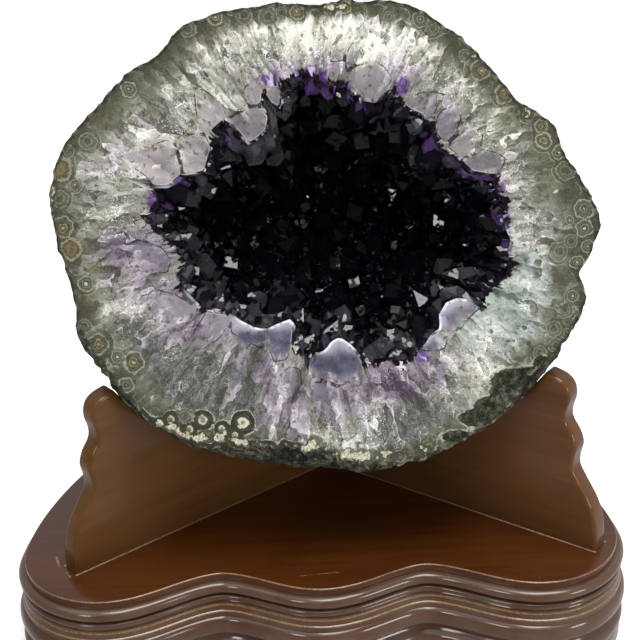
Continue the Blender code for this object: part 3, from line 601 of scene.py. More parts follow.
def rind_and_quartz(n, t):
    """The rind, and inside it white, mauve, mint and gritty quartz in feathers and splinters, with white
    fracture lines that carry painted glints and white flecks that are painted glints.
    """
    swing = n.summed(-0.68, (t.blades, 0.32), (t.shards, 0.36), (t.splinters, 0.19), (t.sparks, 0.05),
                     (t.feathers, 0.44))
    contrast = n.summed(0.6, (t.milky, 0.08))
    # The milky share lifts the quartz, and near the top it is partly painted light
    level = n.summed(0.475, (n.product(swing, contrast), 1.0), (t.milky, 0.275))
    quartz, mauve, mint, vivid = [n.ramp(level, *shades) for shades in QUARTZ_SHADES]
    grit = n.ramp(n.summed(-0.22, (t.sugar, 0.75), (t.splinters, 0.22), (t.feathers, 0.3)), *GRIT_SHADES)
    quartz = n.coats(
        quartz, (mint, (n.summed(t.mint, (t.shards, 0.3)), 0.35, 0.9)),
        (grit, (n.summed(t.gritty, (t.shards, 0.3)), 0.35, 0.85, 0.0, 0.9)),
        (mauve, (n.summed(t.violet, (t.shards, 0.5)), 0.4, 0.85)),
        # White fracture lines along the shards' edges, partly real fractures and partly painted glints
        ((0.93, 0.92, 0.88), (t.shard_edge, 0.05, 0.0), (t.shards, 0.5, 0.75),
         (n.summed(t.feathers, (t.milky, 0.35)), 0.46, 0.75, 0.1, 0.9)),
        # Painted glints: small white flecks where the quartz sparkles
        ((0.95, 0.94, 0.88), (t.sparks, 0.86, 0.91),
         (n.summed(t.feathers, (t.milky, 0.4)), 0.5, 0.8, 0.0, 0.85)),
        ((0.055, 0.055, 0.045), (t.sparks, 0.18, 0.12), (t.milky, 0.2, 1.0, 1.0, 0.2),
         (t.middling, 0.42, 0.6, 0.0, 0.6)))
    edge_of_rind = n.summed(-11.5, (t.rind_depth, 1.0), (t.middling, 10.0), (t.shards, 7.0),
                            (t.splinters, 3.0), (t.milky, 4.0))
    return n.coats(t.rind, (quartz, (edge_of_rind, 6.0, 17.0)),
                   (vivid, (t.vivid, 0.05, 0.25), (n.summed(t.vivid, (t.shards, 0.6)), 0.85, 1.1)))


def sawn_crystals(n, t, body):
    """The big crystals that the saw went through, darker to the right with painted shade, their edges
    and cracks, and the hollow's lip with painted highlights.
    """
    cloudy = n.mottle(t.place, 0.09, 3.0, 0.45, 0.6)
    clear, tinted, painted_shade_copy = [n.ramp(cloudy, *shades) for shades in SAWN_SHADES]
    crystal = n.coats(
        # Painted shade: the sawn crystals turn to the darker copy from u = -60 to -30 mm and keep it to
        # the right
        clear, (painted_shade_copy, (t.across, -60.0, -30.0)), (tinted, t.sawn_violet),
        ((0.62, 0.6, 0.61), (t.feathers, 0.56, 0.72, 0.0, 0.55)),
        ((0.135, 0.122, 0.135), (t.blades, 0.75, 0.25, 0.0, 0.35)))
    fade = n.between(n.summed(t.hollow, (t.shards, 16.0)), 32.0, 22.0, 0.0, 0.93)
    soft = n.maths("MAXIMUM", n.between(n.summed(t.seam, (t.feathers, 3.0)), 1.5, 4.5),
                   n.between(t.hollow, 9.0, 5.0))
    ragged = n.maths("SUBTRACT", 1.0, t.sawn)
    dark_edge = n.summed(t.hollow, (t.shards, 4.0), (t.splinters, 2.0))
    t.crack = n.product((t.seam, 0.34, 0.14), (t.middling, 0.46, 0.52, 0.0, 0.9),
                        (t.hollow, 26.0, 18.0))
    bluish = n.ramp(n.summed(cloudy, (t.shards, 0.1)), (0.4, (0.06, 0.058, 0.095)),
                    (0.58, (0.11, 0.108, 0.165)), (0.75, (0.21, 0.205, 0.28)))
    return n.coats(
        body, (crystal, t.sawn, fade, soft), ((0.007, 0.004, 0.01), (dark_edge, 5.4, 4.0), ragged),
        # Painted highlight: a pale fringe on the sawn crystals along their seams next to the hollow
        ((0.8, 0.78, 0.8), t.sawn, (t.seam, 0.75, 0.25), (t.hollow, 3.4, 2.4),
         (t.middling, 0.42, 0.58, 0.0, 0.75)),
        ((0.02, 0.015, 0.024), t.crack),
        (bluish, (n.summed(t.bluish, (t.shards, 0.2)), 0.45, 0.75, 0.0, 0.92)),
        # Painted highlights where the hollow's edges catch the light: a grey-blue band and a white line
        ((0.46, 0.47, 0.56), (t.hollow, 7.0, 0.6), (t.lit_edge, 0.3, 0.9, 0.0, 0.85)),
        ((0.9, 0.9, 0.94), (t.hollow, 1.7, 0.6), (t.lit_edge, 0.35, 0.75),
         (t.middling, 0.36, 0.52, 0.2, 1.0)))


def eyes_and_crusts(n, t, body):
    """Banks and eyes of agate, cream crust, moss-dark patches and the crumbs along the skin."""
    eye, eye_share = agate_eyes(n, t)
    bank_line = n.maths("ABSOLUTE", n.summed(-1.5, (t.bank, 1.0), (t.middling, 3.0)))
    by_cream = n.between(t.eye_kind, 2.4, 2.6)
    near_eyes = n.summed(-2.2, (t.bank, 1.0), (t.middling, 3.0))
    lumpy = n.mottle(t.place, 0.3, 5.0, 0.62)
    crust = n.summed(-0.78, (t.cream, 1.0), (n.mottle(t.place, 0.34, 3.0, 0.5), 1.7))
    mossy = n.summed(t.mossy, (lumpy, 0.5))
    t.moss = n.between(mossy, 0.62, 0.7)
    moss = n.ramp(n.summed(lumpy, (t.fine, 0.4)), (0.55, (0.012, 0.013, 0.008)),
                  (0.72, (0.04, 0.042, 0.026)), (0.88, (0.12, 0.12, 0.085)))
    popcorn = n.mix(n.between(t.fine, 0.4, 0.62), (0.36, 0.34, 0.22), (0.74, 0.72, 0.56))
    crumbs = n.mix(n.between(lumpy, 0.48, 0.66), (0.028, 0.029, 0.019), (0.26, 0.26, 0.2))
    skin_line = n.summed(-2.5, (t.rim, 1.0), (lumpy, 5.0))
    return n.coats(
        body, ((0.42, 0.42, 0.35), (bank_line, 0.36, 0.08), (t.broad, 0.44, 0.6, 0.0, 0.6)),
        ((0.06, 0.062, 0.04), (t.bank, 0.5, -1.5), (t.middling, 0.35, 0.6, 0.1, 0.7)),
        ((0.034, 0.035, 0.022), by_cream, (near_eyes, 0.4, -0.4), (t.middling, 0.3, 0.5, 0.75, 0.95)),
        ((0.5, 0.5, 0.4), by_cream, (n.maths("ABSOLUTE", near_eyes), 0.42, 0.1),
         (t.fine, 0.4, 0.55, 0.3, 0.9)),
        (eye, eye_share), ((0.052, 0.053, 0.034), (crust, 0.18, 0.45, 0.0, 0.8)),
        (popcorn, (crust, 0.67, 0.78, 0.0, 0.95)),
        ((0.4, 0.4, 0.31), (mossy, 0.5, 0.6), (t.middling, 0.42, 0.58)), (moss, t.moss),
        (crumbs, (skin_line, 2.0, 0.6, 0.0, 0.9)))


def polished_agate():
    """The sawn face: agate rind with eyes, milky quartz made whitest at the top as partly painted light,
    and violet quartz round the hollow.
    """
    material, n = start_material("polished agate and quartz")
    t = face_textures(n)
    t.rind = agate_rind(n, t)
    body = eyes_and_crusts(n, t, sawn_crystals(n, t, rind_and_quartz(n, t)))
    relief = n.summed(0.0, (t.crack, -1.0), (t.moss, -0.6))
    n.surface(Base_Color=body, Roughness=n.between(t.fine, 0.3, 0.75, 0.18, 0.36),
              Normal=n.bump(relief, 0.0005, 0.7, n.bump(t.splinters, 0.00006, 0.5)),
              Specular_IOR_Level=0.35, Coat_Weight=0.15, Coat_Roughness=0.1)
    return material


def natural_skin():
    """The rough outside of the nodule, with green earth and rust, and darker in its pits."""
    material, n = start_material("natural skin")
    place = n.in_millimetres()
    broad = n.mottle(place, 0.02, 5.0, 0.55)
    crusts = n.mottle(n.stretched(place, turn=(0.6, 0.3, 0.9)), 0.048, 6.0, 0.62)
    lumps = n.mottle(place, 0.12, 6.0, 0.62)
    grains = n.mottle(place, 0.8, 5.0, 0.7)
    pits, knobs = n.cells(place, 0.34)["Distance"], n.cells(place, 0.11)["Distance"]
    broken, chipped = n.facets(place, 0.2), n.facets(place, 0.55)
    rocky = n.summed(0.0, (lumps, 0.6), (broken, 0.2), (chipped, 0.2), (grains, 0.35))
    green, brown = [n.ramp(rocky, *shades) for shades in SKIN_SHADES]
    crusty = n.mix(n.between(grains, 0.35, 0.65), (0.085, 0.08, 0.056), (0.26, 0.25, 0.19))
    body = n.coats(
        green, (brown, (n.summed(broad, (lumps, 0.3)), 0.6, 0.7)),
        (crusty, (crusts, 0.56, 0.7, 0.0, 0.55)),
        ((0.014, 0.014, 0.01), (crusts, 0.45, 0.34, 0.0, 0.6)),
        ((0.36, 0.35, 0.27), (grains, 0.6, 0.74, 0.0, 0.6)),
        # Darker in the pits
        ((0.012, 0.013, 0.009), (pits, 0.34, 0.08, 0.0, 0.85)))
    rough = n.bump(pits, 0.0006, 0.8, n.bump(grains, 0.0006, 0.9))
    rough = n.bump(n.summed(knobs, (broken, 0.15), (chipped, 0.06)), 0.005, 0.9, rough)
    n.surface(Base_Color=body, Roughness=n.between(grains, 0.3, 0.7, 0.6, 0.9), Specular_IOR_Level=0.3,
              Normal=n.bump(n.summed(lumps, (crusts, 1.2)), 0.0045, 1.0, rough))
    return material


def clear_amethyst(name, tint, absorbed, density, through):
    """Clear violet crystal, darker the deeper the light has to go."""
    material, n = start_material(name)
    place = n.in_millimetres()
    cloud = n.mottle(place, 0.12, 4.0)
    veil = n.mottle(place, 0.7, 5.0, 0.65)
    pale = tuple(min(1.0, channel * 1.7 + 0.03) for channel in tint)
    body = n.mix(n.between(cloud, 0.4, 0.75, 0.0, 0.55), tint, pale)
    n.surface(Base_Color=n.coats(body, ((0.55, 0.5, 0.62), (veil, 0.62, 0.78, 0.0, 0.4))),
              Roughness=n.between(veil, 0.45, 0.75, 0.03, 0.14),
              Normal=n.bump(n.facets(place, 0.42, 2.0), 0.0003, 0.5),
              IOR=1.545, Transmission_Weight=through)
    inside = n.put("VolumeAbsorption", Color=absorbed, Density=density)
    n.join(inside.outputs[0], n.tree.nodes["Material Output"].inputs["Volume"])
    return material


def drusy_wall():
    """The violet quartz that the crystals stand on."""
    material, n = start_material("crystal feet")
    place = n.in_millimetres()
    cloud = n.mottle(place, 0.25, 5.0)
    n.surface(Base_Color=n.ramp(cloud, (0.35, (0.01, 0.005, 0.02)), (0.7, (0.045, 0.022, 0.085))),
              Roughness=n.between(cloud, 0.3, 0.7, 0.12, 0.3),
              Normal=n.bump(n.cells(place, 0.22)["Distance"], 0.002, 0.9))
    return material


# Shapes by hand

def deselect_all():
    bpy.ops.object.select_all(action="DESELECT")


def filled_outline(name, points):
    """A flat face on the given outline, started as a disc; it is left open in edit mode."""
    deselect_all()
    bpy.ops.mesh.primitive_circle_add(vertices=len(points), radius=0.1, fill_type="NGON")
    piece = bpy.context.object
    piece.name = name
    bpy.ops.object.mode_set(mode="EDIT")
    bm = bmesh.from_edit_mesh(piece.data)
    bm.verts.ensure_lookup_table()
    for vert, point in zip(bm.verts, points):
        vert.co = point
    bmesh.update_edit_mesh(piece.data)
    return piece


def put_down(piece, material):
    """A wooden piece's material, and the body that it rides on."""
    piece.data.materials.clear()
    piece.data.materials.append(material)
    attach(piece, "root")


def select_only(piece):
    deselect_all()
    piece.select_set(True)
    bpy.context.view_layer.objects.active = piece


def smooth_up_to(piece, degrees):
    select_only(piece)
    bpy.ops.object.shade_smooth_by_angle(angle=math.radians(degrees))


def normals_out():
    """Turn every face of the piece in edit mode outwards."""
    bpy.ops.mesh.select_all(action="SELECT")
    bpy.ops.mesh.normals_make_consistent(inside=False)


def turn_outwards(piece):
    select_only(piece)
    bpy.ops.object.mode_set(mode="EDIT")
    normals_out()
    bpy.ops.object.mode_set(mode="OBJECT")


def find_among(points):
    """A finder of the nearest of these points."""
    finder = KDTree(len(points))
    for i, point in enumerate(points):
        finder.insert(point, i)
    finder.balance()
    return finder


def along_length(points, count, closed):
    """Evenly spaced points on a polyline."""
    points = np.asarray(points, float)
    if closed:
        points = np.vstack((points, points[:1]))
    way = np.concatenate(((0.0,), np.cumsum(np.linalg.norm(np.diff(points, axis=0), axis=1))))
    stops = np.linspace(0.0, way[-1], count, endpoint=not closed)
    return np.stack([np.interp(stops, way, points[:, axis]) for axis in range(points.shape[1])],
                    axis=1)


def flowing(points, steps, closed):
    """A smooth line through the points."""
    points = np.asarray(points, float)
    if closed:
        padded = np.vstack((points[-1:], points, points[:2]))
    else:
        padded = np.vstack((2 * points[0] - points[1], points, 2 * points[-1] - points[-2]))
    line = []
    for before, start, end, after in zip(padded, padded[1:], padded[2:], padded[3:]):
        for share in np.arange(steps) / steps:
            line.append(0.5 * (2 * start + (end - before) * share
                               + (2 * before - 5 * start + 4 * end - after) * share ** 2
                               + (3 * start - before - 3 * end + after) * share ** 3))
    if not closed:
        line.append(points[-1])
    return np.array(line)


# Plinth

def plinth_sides():
    """The top edge: the middle bulge between the cusps, and the rest from cusp to cusp."""
    share = np.linspace(-1.0, 1.0, 241)
    swell = (0.5 + 0.5 * np.cos(math.pi * share)) ** 0.85
    middle = np.stack((CUSP_X * share, CUSP_Y + (BULGE_Y - CUSP_Y) * swell), axis=1)
    share = np.linspace(0.0, 1.0, 160)
    swell = (0.5 - 0.5 * np.cos(math.pi * share)) ** 0.85
    lobe = np.stack((CUSP_X + (LOBE_X - CUSP_X) * share,
                     CUSP_Y + (-HALF_DEPTH - CUSP_Y) * swell), axis=1)
    turn = np.linspace(0.0, math.pi / 2, 140)[1:]
    corner = np.stack((LOBE_X + (HALF_WIDTH - LOBE_X) * np.sin(turn),
                       WIDEST_Y + (-HALF_DEPTH - WIDEST_Y) * np.cos(turn)), axis=1)
    turn = np.linspace(0.0, math.pi / 2, 400)[1:]
    across = np.clip(np.cos(turn), 0.0, 1.0) ** (2 / BACK_EXPONENTS[0])
    back = np.sin(turn) ** (2 / BACK_EXPONENTS[1])
    back = np.stack((HALF_WIDTH * across, WIDEST_Y + (HALF_DEPTH - WIDEST_Y) * back), axis=1)
    right = np.vstack((lobe, corner, back))
    left = right[-2::-1] * (-1, 1)
    return middle, np.vstack((right, left))


def moved_out(line, distance):
    """A line moved out along its normals, on the right of its direction."""
    ahead = np.gradient(line, axis=0)
    ahead /= np.linalg.norm(ahead, axis=1)[:, None]
    return line + np.stack((ahead[:, 1], -ahead[:, 0]), axis=1) * distance


def cut_at(line, keep_inside):
    """The part of a line on one side of the two planes through the cusps."""
    inside = np.abs(line[:, 0]) <= CUSP_X
    if keep_inside:
        chosen = np.where(inside)[0]
    else:
        chosen = np.where((~inside) | (line[:, 1] > 0))[0]
    part = line[chosen[0]:chosen[-1] + 1]
    first_sign = -1.0 if keep_inside else 1.0
    return np.vstack(((first_sign * CUSP_X, part[0, 1]), part, (-first_sign * CUSP_X, part[-1, 1])))


def plinth_ring(out):
    middle, rest = plinth_sides()
    middle = cut_at(moved_out(middle, out), True)
    rest = cut_at(moved_out(rest, out), False)
    middle = along_length(middle, MIDDLE_POINTS + 1, False)
    rest = along_length(rest, ROUND_POINTS + 1, False)
    corner_y = (middle[0, 1] + middle[-1, 1] + rest[0, 1] + rest[-1, 1]) / 4
    middle[0, 1] = middle[-1, 1] = rest[0, 1] = rest[-1, 1] = corner_y
    return np.vstack((middle[:-1], rest[:-1]))


def bead(out, top, bottom, reach, steps):
    """A half round of a moulding: distance out at its foot, from top to bottom, how far it swells."""
    turns = [math.pi * i / steps for i in range(1, steps)]
    middle, half = (top + bottom) / 2, (bottom - top) / 2
    return [(out + reach * math.sin(turn), middle - half * math.cos(turn)) for turn in turns]


def top_profile():
    """Steps of the upper board's edge: distance out and depth below the top, mm."""
    return ([(-0.9, 0.0), (-0.45, 0.07), (-0.12, 0.32), (0.0, 0.8), (0.05, 4.1), (-0.15, 4.5)]
            + bead(0.3, 4.5, 10.9, 3.5, 12) + [(0.55, 11.2), (0.6, 11.8)]
            + bead(1.0, 11.8, 15.4, 1.9, 8) + [(1.3, 15.5), (1.6, 16.0)])


def base_profile():
    """Steps of the lower board's edge: distance out and depth below the top, mm."""
    return ([(1.6, 16.3), (1.75, 17.2), (2.35, 17.5), (2.5, 17.8), (2.6, 20.6), (3.1, 20.9),
             (3.25, 21.2), (3.2, 23.8), (3.05, 24.4)]
            + bead(2.9, 24.6, 34.4, 2.5, 12)
            + [(2.6, 34.9), (1.3, 36.2), (0.8, 36.9), (1.0, 37.6), (2.6, 39.4), (3.6, 40.4),
               (4.3, 41.2), (4.75, 42.4), (4.8, 43.6), (4.6, 44.9), (4.1, 45.9), (3.7, 46.6),
               (3.8, 47.6), (3.8, 54.8), (3.3, 55.7), (2.6, 56.0)])


def draw_along(piece, rings):
    """Extrude the piece's open face from ring to ring, with every point on its place."""
    bpy.ops.mesh.select_all(action="SELECT")
    for before, after in zip(rings, rings[1:]):
        bpy.ops.mesh.extrude_region_move()
        finder = find_among(before)
        bm = bmesh.from_edit_mesh(piece.data)
        for vert in bm.verts:
            if vert.select:
                vert.co = after[finder.find(vert.co)[1]]
        bmesh.update_edit_mesh(piece.data)


def moulded_board(name, node_name, profile, material):
    """A board of the plinth: its edge is drawn down and out step by step along the moulding."""
    rings = [[(x * MM, y * MM, (PLINTH_HEIGHT - depth) * MM) for x, y in plinth_ring(out)]
             for out, depth in profile]
    piece = filled_outline(name, rings[0])
    draw_along(piece, rings)
    normals_out()
    bpy.ops.object.mode_set(mode="OBJECT")
    smooth_up_to(piece, WOOD_SMOOTH)
    put_down(piece, material)
    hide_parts(node_name)


# Cradle boards

def hollow_height(share, tip_height, power):
    """Height of a board's hollowed top at a share of the way from the crossing to its tip."""
    return CROSSING_TOP + (tip_height - CROSSING_TOP) * share ** power


def board_side():
    """Side view of a board: distance along it from the crossing, height over the plinth."""
    scallops = flowing(FRONT_END, 7, False)
    front = np.stack((scallops[:, 0] - FRONT_REACH, scallops[:, 1]), axis=1)
    back = np.stack((BACK_REACH - scallops[::-1, 0] * BACK_END_SCALE,
                     scallops[::-1, 1] * BACK_END_SCALE), axis=1)
    share = np.linspace(1.0, 0.0, 60)[1:]
    down = np.stack((front[-1, 0] * share, hollow_height(share, front[-1, 1], FRONT_HOLLOW)), axis=1)
    share = np.linspace(0.0, 1.0, 34)[1:-1]
    up = np.stack((back[0, 0] * share, hollow_height(share, back[0, 1], BACK_HOLLOW)), axis=1)
    return along_length(np.vstack((front, down, up, back)), BOARD_POINTS, False)


def board_place(side, across, offset, height):
    """A point of a board, from its place across the board, along it and over the plinth."""
    along = Vector((-side * math.cos(BOARD_ANGLE), math.sin(BOARD_ANGLE), 0.0))
    normal = Vector((-along.y, along.x, 0.0))
    centre = Vector((*CROSSING, PLINTH_HEIGHT + BOARD_LIFT))
    return (centre + along * offset + normal * across + Vector((0.0, 0.0, height))) * MM


def cradle_board(name, side):
    """A board on edge, drawn out to its thickness, with its long arrises rounded."""
    outline = board_side()
    rings = [[board_place(side, across, x, z) for x, z in outline]
             for across in (-BOARD_THICKNESS / 2, BOARD_THICKNESS / 2)]
    piece = filled_outline(name, rings[0])
    draw_along(piece, rings)
    normals_out()
    bpy.ops.mesh.select_all(action="DESELECT")
    foot = (PLINTH_HEIGHT + BOARD_LIFT + 0.05) * MM
    bpy.ops.mesh.select_mode(type="EDGE")
    bm = bmesh.from_edit_mesh(piece.data)
    for face in bm.faces:
        if len(face.verts) > 10:
            for edge in face.edges:
                edge.select = max(vert.co.z for vert in edge.verts) > foot
    bmesh.update_edit_mesh(piece.data)
    bpy.ops.mesh.bevel(offset=BOARD_ROUNDING * MM, segments=6, profile=0.5, affect="EDGES",
                       clamp_overlap=True)
    bpy.ops.object.mode_set(mode="OBJECT")
    return piece


def cut_slot(board, other_side, upper):
    """Slot a board over half its height, where the other one passes through it."""
    middle = CROSSING_TOP / 2
    low, high = (middle - 0.15, CROSSING_TOP + 30.0) if upper else (-20.0, middle + 0.15)
    half, reach = BOARD_THICKNESS / 2 + SLOT_PLAY, 40.0
    deselect_all()
    bpy.ops.mesh.primitive_cube_add(size=1.0)
    cutter = bpy.context.object
    for vert in cutter.data.vertices:
        corner = vert.co
        vert.co = board_place(other_side, math.copysign(half, corner.y),
                              math.copysign(reach, corner.x), high if corner.z > 0 else low)
    turn_outwards(cutter)
    select_only(board)
    slot = board.modifiers.new("lap slot", "BOOLEAN")
    slot.operation = "DIFFERENCE"
    slot.solver = "EXACT"
    slot.object = cutter
    bpy.ops.object.modifier_apply(modifier="lap slot")
    bpy.data.objects.remove(cutter, do_unlink=True)


# Stone

def are_inside(points, corners):
    """Which points lie inside a closed outline."""
    inside = np.zeros(len(points), bool)
    x, y = points[:, 0], points[:, 1]
    for (ax, ay), (bx, by) in zip(corners, np.roll(corners, -1, axis=0)):
        spans = (ay > y) != (by > y)
        with np.errstate(divide="ignore", invalid="ignore"):
            at = (bx - ax) * (y - ay) / (by - ay) + ax
        inside ^= spans & (x < at)
    return inside


def distance_to(points, corners):
    """Least distance from each point to a closed outline."""
    least = np.full(len(points), np.inf)
    for start, end in zip(corners, np.roll(corners, -1, axis=0)):
        way = end - start
        length = max(float(way @ way), 1e-9)
        share = np.clip(((points - start) @ way) / length, 0.0, 1.0)
        near = start + share[:, None] * way
        least = np.minimum(least, np.hypot(*(points - near).T))
    return least


def skin_outline():
    """The stone's outline with the small chips that the saw left."""
    line = along_length(flowing(SKIN_OUTLINE, 12, True), SKIN_POINTS, True)
    out = line / np.linalg.norm(line, axis=1)[:, None]
    chips = [1.1 * noise.noise(Vector((x / 9.0, y / 9.0, 2.0)))
             + 0.8 * noise.noise(Vector((x / 3.1, y / 3.1, 5.0)))
             + 0.35 * noise.noise(Vector((x / 1.1, y / 1.1, 9.0))) - 0.5 for x, y in line]
    return line + out * np.array(chips)[:, None]


def strip_width(angle):
    """How much rough skin shows under the sawn face at a bearing, mm."""
    under = 4.0 * math.exp(-((angle + 88) / 26) ** 2) + 8.5 * math.exp(-((angle + 103) / 15) ** 2)
    corner = 5.5 * math.exp(-((angle + 37) / 8.5) ** 2)
    low_left = 3.0 * math.exp(-((angle + 142) / 24) ** 2)
    return 0.6 + max(under, corner, low_left)


def edge_of_face(outline):
    """The sawn face's edge, inside the skin's outline by the strip of skin below it."""
    edge = []
    for x, y in outline:
        radius = math.hypot(x, y)
        angle = math.degrees(math.atan2(y, x))
        ragged = (1.0 + 0.45 * noise.noise(Vector((x / 6.0, y / 6.0, 4.0)))
                  + 0.25 * noise.noise(Vector((x / 2.2, y / 2.2, 1.0))))
        edge.append(np.array((x, y)) * (1 - strip_width(angle) * ragged / radius))
    return np.array(edge)


def at_depth(line, depth):
    """Points of the face's plane moved back from it."""
    return np.stack((line[:, 0], np.full(len(line), depth), line[:, 1]), axis=1)


def walls_along(start, rings, first, inwards=False):
    """Faces from a ring of points over more rings, whose points begin at first, to a tip."""
    faces, last, count = [], start, len(start)
    for _ in rings:
        now = list(range(first, first + count))
        faces += [(last[i], last[(i + 1) % count], now[(i + 1) % count], now[i])
                  for i in range(count)]
        first += count
        last = now
    faces += [(last[i], last[(i + 1) % count], first) for i in range(count)]
    if inwards:
        faces = [(face[0], *face[:0:-1]) for face in faces]
    return faces


def mesh_piece(name, points, faces, materials, slots):
    """A piece from points in the stone's own measures, with the material of each face."""
    mesh = bpy.data.meshes.new(name)
    mesh.from_pydata(stone_points(points).tolist(), [], faces)
    for material in materials:
        mesh.materials.append(material)
    mesh.polygons.foreach_set("material_index", slots)
    piece = bpy.data.objects.new(name, mesh)
    bpy.context.collection.objects.link(piece)
    return piece


def skin_rings(outline, edge):
    """Rings of the natural skin from the face's edge to the back."""
    radii = np.linalg.norm(outline, axis=1)
    ways = outline / radii[:, None]
    edge_radii = np.linalg.norm(edge, axis=1)
    depths = np.concatenate(((1.2, 2.6, 4.2, 6.0, 8.0), np.linspace(10.5, 96.0, 32),
                             STONE_DEPTH * np.sin(np.linspace(0.68, math.pi / 2, 26))[1:-1]))
    rings = []
    for depth in depths:
        share = depth / STONE_DEPTH
        swell = 1.0 + 0.008 * math.sin(min(depth / 95.0, 1.0) * math.pi)
        taper = (1 - share ** 2.3) ** 0.5
        rounding = 0.75 * share
        radius = (radii * (1 - rounding) + radii.mean() * rounding) * swell * taper
        if depth < 9.0:
            part = (depth / 9.0) ** 0.8
            radius = edge_radii * (1 - part) + radius * part
        points = at_depth(ways * radius[:, None], depth)
        for i, point in enumerate(points):
            spot = Vector(point)
            coarse = 3.4 * noise.noise(Vector((spot.x, spot.y, spot.z)) / 46.0)
            medium = 2.0 * noise.noise(spot / 17.0 + Vector((7.0, 3.0, 5.0)))
            small = 1.3 * noise.noise(spot / 5.5) + 0.6 * noise.noise(spot / 2.2) - 0.9
            lift = (coarse + medium) * min(1.0, depth / 10.0) + small * min(1.0, depth / 2.0)
            points[i, 0] += ways[i, 0] * lift
            points[i, 2] += ways[i, 1] * lift
        rings.append(points)
    return rings


def face_mesh(edge, opening):
    """Triangles of the sawn face, with an edge along every sawn crystal."""
    points, lines, shapes = [], [], []

    def add_line(line):
        start, count = len(points), len(line)
        points.extend(tuple(point) for point in line)
        lines.extend((start + i, start + (i + 1) % count) for i in range(count))

    add_line(edge)
    add_line(opening)
    for violet, *corners in SAWN_CRYSTALS:
        line = along_length(corners, max(12, int(distance_round(corners) / 1.6)), True)
        shapes.append((violet, line))
        add_line(line)
    rng = np.random.default_rng(5)
    grid = np.array([(i * FACE_STEP + (j % 2) * FACE_STEP / 2, j * FACE_STEP * 0.866)
                     for i in range(-80, 81) for j in range(-80, 81)])
    grid += rng.uniform(-0.3, 0.3, grid.shape)
    grid = grid[are_inside(grid, edge) & ~are_inside(grid, opening)]
    clear = np.minimum(distance_to(grid, edge), distance_to(grid, opening))
    for _, line in shapes:
        clear = np.minimum(clear, distance_to(grid, line))
    grid = grid[clear > 0.7]
    points += [tuple(point) for point in grid]
    verts, _, faces, *_ = geometry.delaunay_2d_cdt([Vector(p) for p in points], lines, [], 0, 1e-4)
    verts = np.array([tuple(v) for v in verts])
    faces = np.array(faces)
    middles = verts[faces].mean(axis=1)
    kept = are_inside(middles, edge) & ~are_inside(middles, opening)
    return verts, faces[kept], shapes


def distance_round(corners):
    corners = np.asarray(corners, float)
    return float(np.linalg.norm(np.roll(corners, -1, axis=0) - corners, axis=1).sum())


def patch_strength(points, patches):
    total = np.zeros(len(points))
    for u, v, across, up, strength in patches:
        reach = ((points[:, 0] - u) / across) ** 2 + ((points[:, 1] - v) / up) ** 2
        total = np.maximum(total, strength * np.exp(-reach * 0.8))
    return total


def add_measure(mesh, name, domain, values, elsewhere=0.0):
    """Values on the mesh's first points or faces, and one value on all the others."""
    kind, field = ("FLOAT", "value") if values.ndim == 1 else ("FLOAT_VECTOR", "vector")
    layer = mesh.attributes.new(name, kind, domain)
    whole = np.full((len(layer.data), *values.shape[1:]), elsewhere)
    whole[:len(values)] = values
    layer.data.foreach_set(field, whole.ravel())


def make_shell(face_material, skin_material):
    """The stone round the hollow: sawn face, natural skin, and the wall behind the crystals."""
    outline = skin_outline()
    edge = edge_of_face(outline)
    opening = along_length(OPENING, OPENING_POINTS, True)
    flat, triangles, shapes = face_mesh(edge, opening)
    finder = find_among([(x, y, 0.0) for x, y in flat])
    rim_points, mouth = [[finder.find((x, y, 0.0))[1] for x, y in line] for line in (edge, opening)]
    skin = skin_rings(outline, edge)
    centre = np.array(HOLLOW_CENTRE)
    wall = []
    for depth in STONE_WALL_DEPTHS:
        taper = (1 - (depth / STONE_WALL_END) ** 2.2) ** 0.5
        grown = opening - centre
        grown = grown * (1 + (5.0 if depth < 5 else 14.0)
                         / np.linalg.norm(grown, axis=1)[:, None]) * taper + centre
        wall.append(at_depth(grown, depth))
    tips = [(0.0, STONE_DEPTH - 0.3, 0.0)], [(centre[0], STONE_WALL_END, centre[1])]
    points = np.vstack((at_depth(flat, 0.0), *skin, tips[0], *wall, tips[1]))
    behind_skin = len(flat) + len(skin) * len(edge) + 1
    faces = (triangles.tolist() + walls_along(rim_points, skin, len(flat))
             + walls_along(mouth, wall, behind_skin, True))
    slots = np.ones(len(faces), int)
    slots[:len(triangles)] = 0
    stone = mesh_piece("geode_stone", points, faces, (face_material, skin_material), slots)
    measure_points(stone.data, flat, edge, opening, shapes)
    measure_triangles(stone.data, flat, triangles, shapes)
    turn_outwards(stone)
    smooth_up_to(stone, STONE_SMOOTH)
    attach(stone, "root")
    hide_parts("geode_shell")


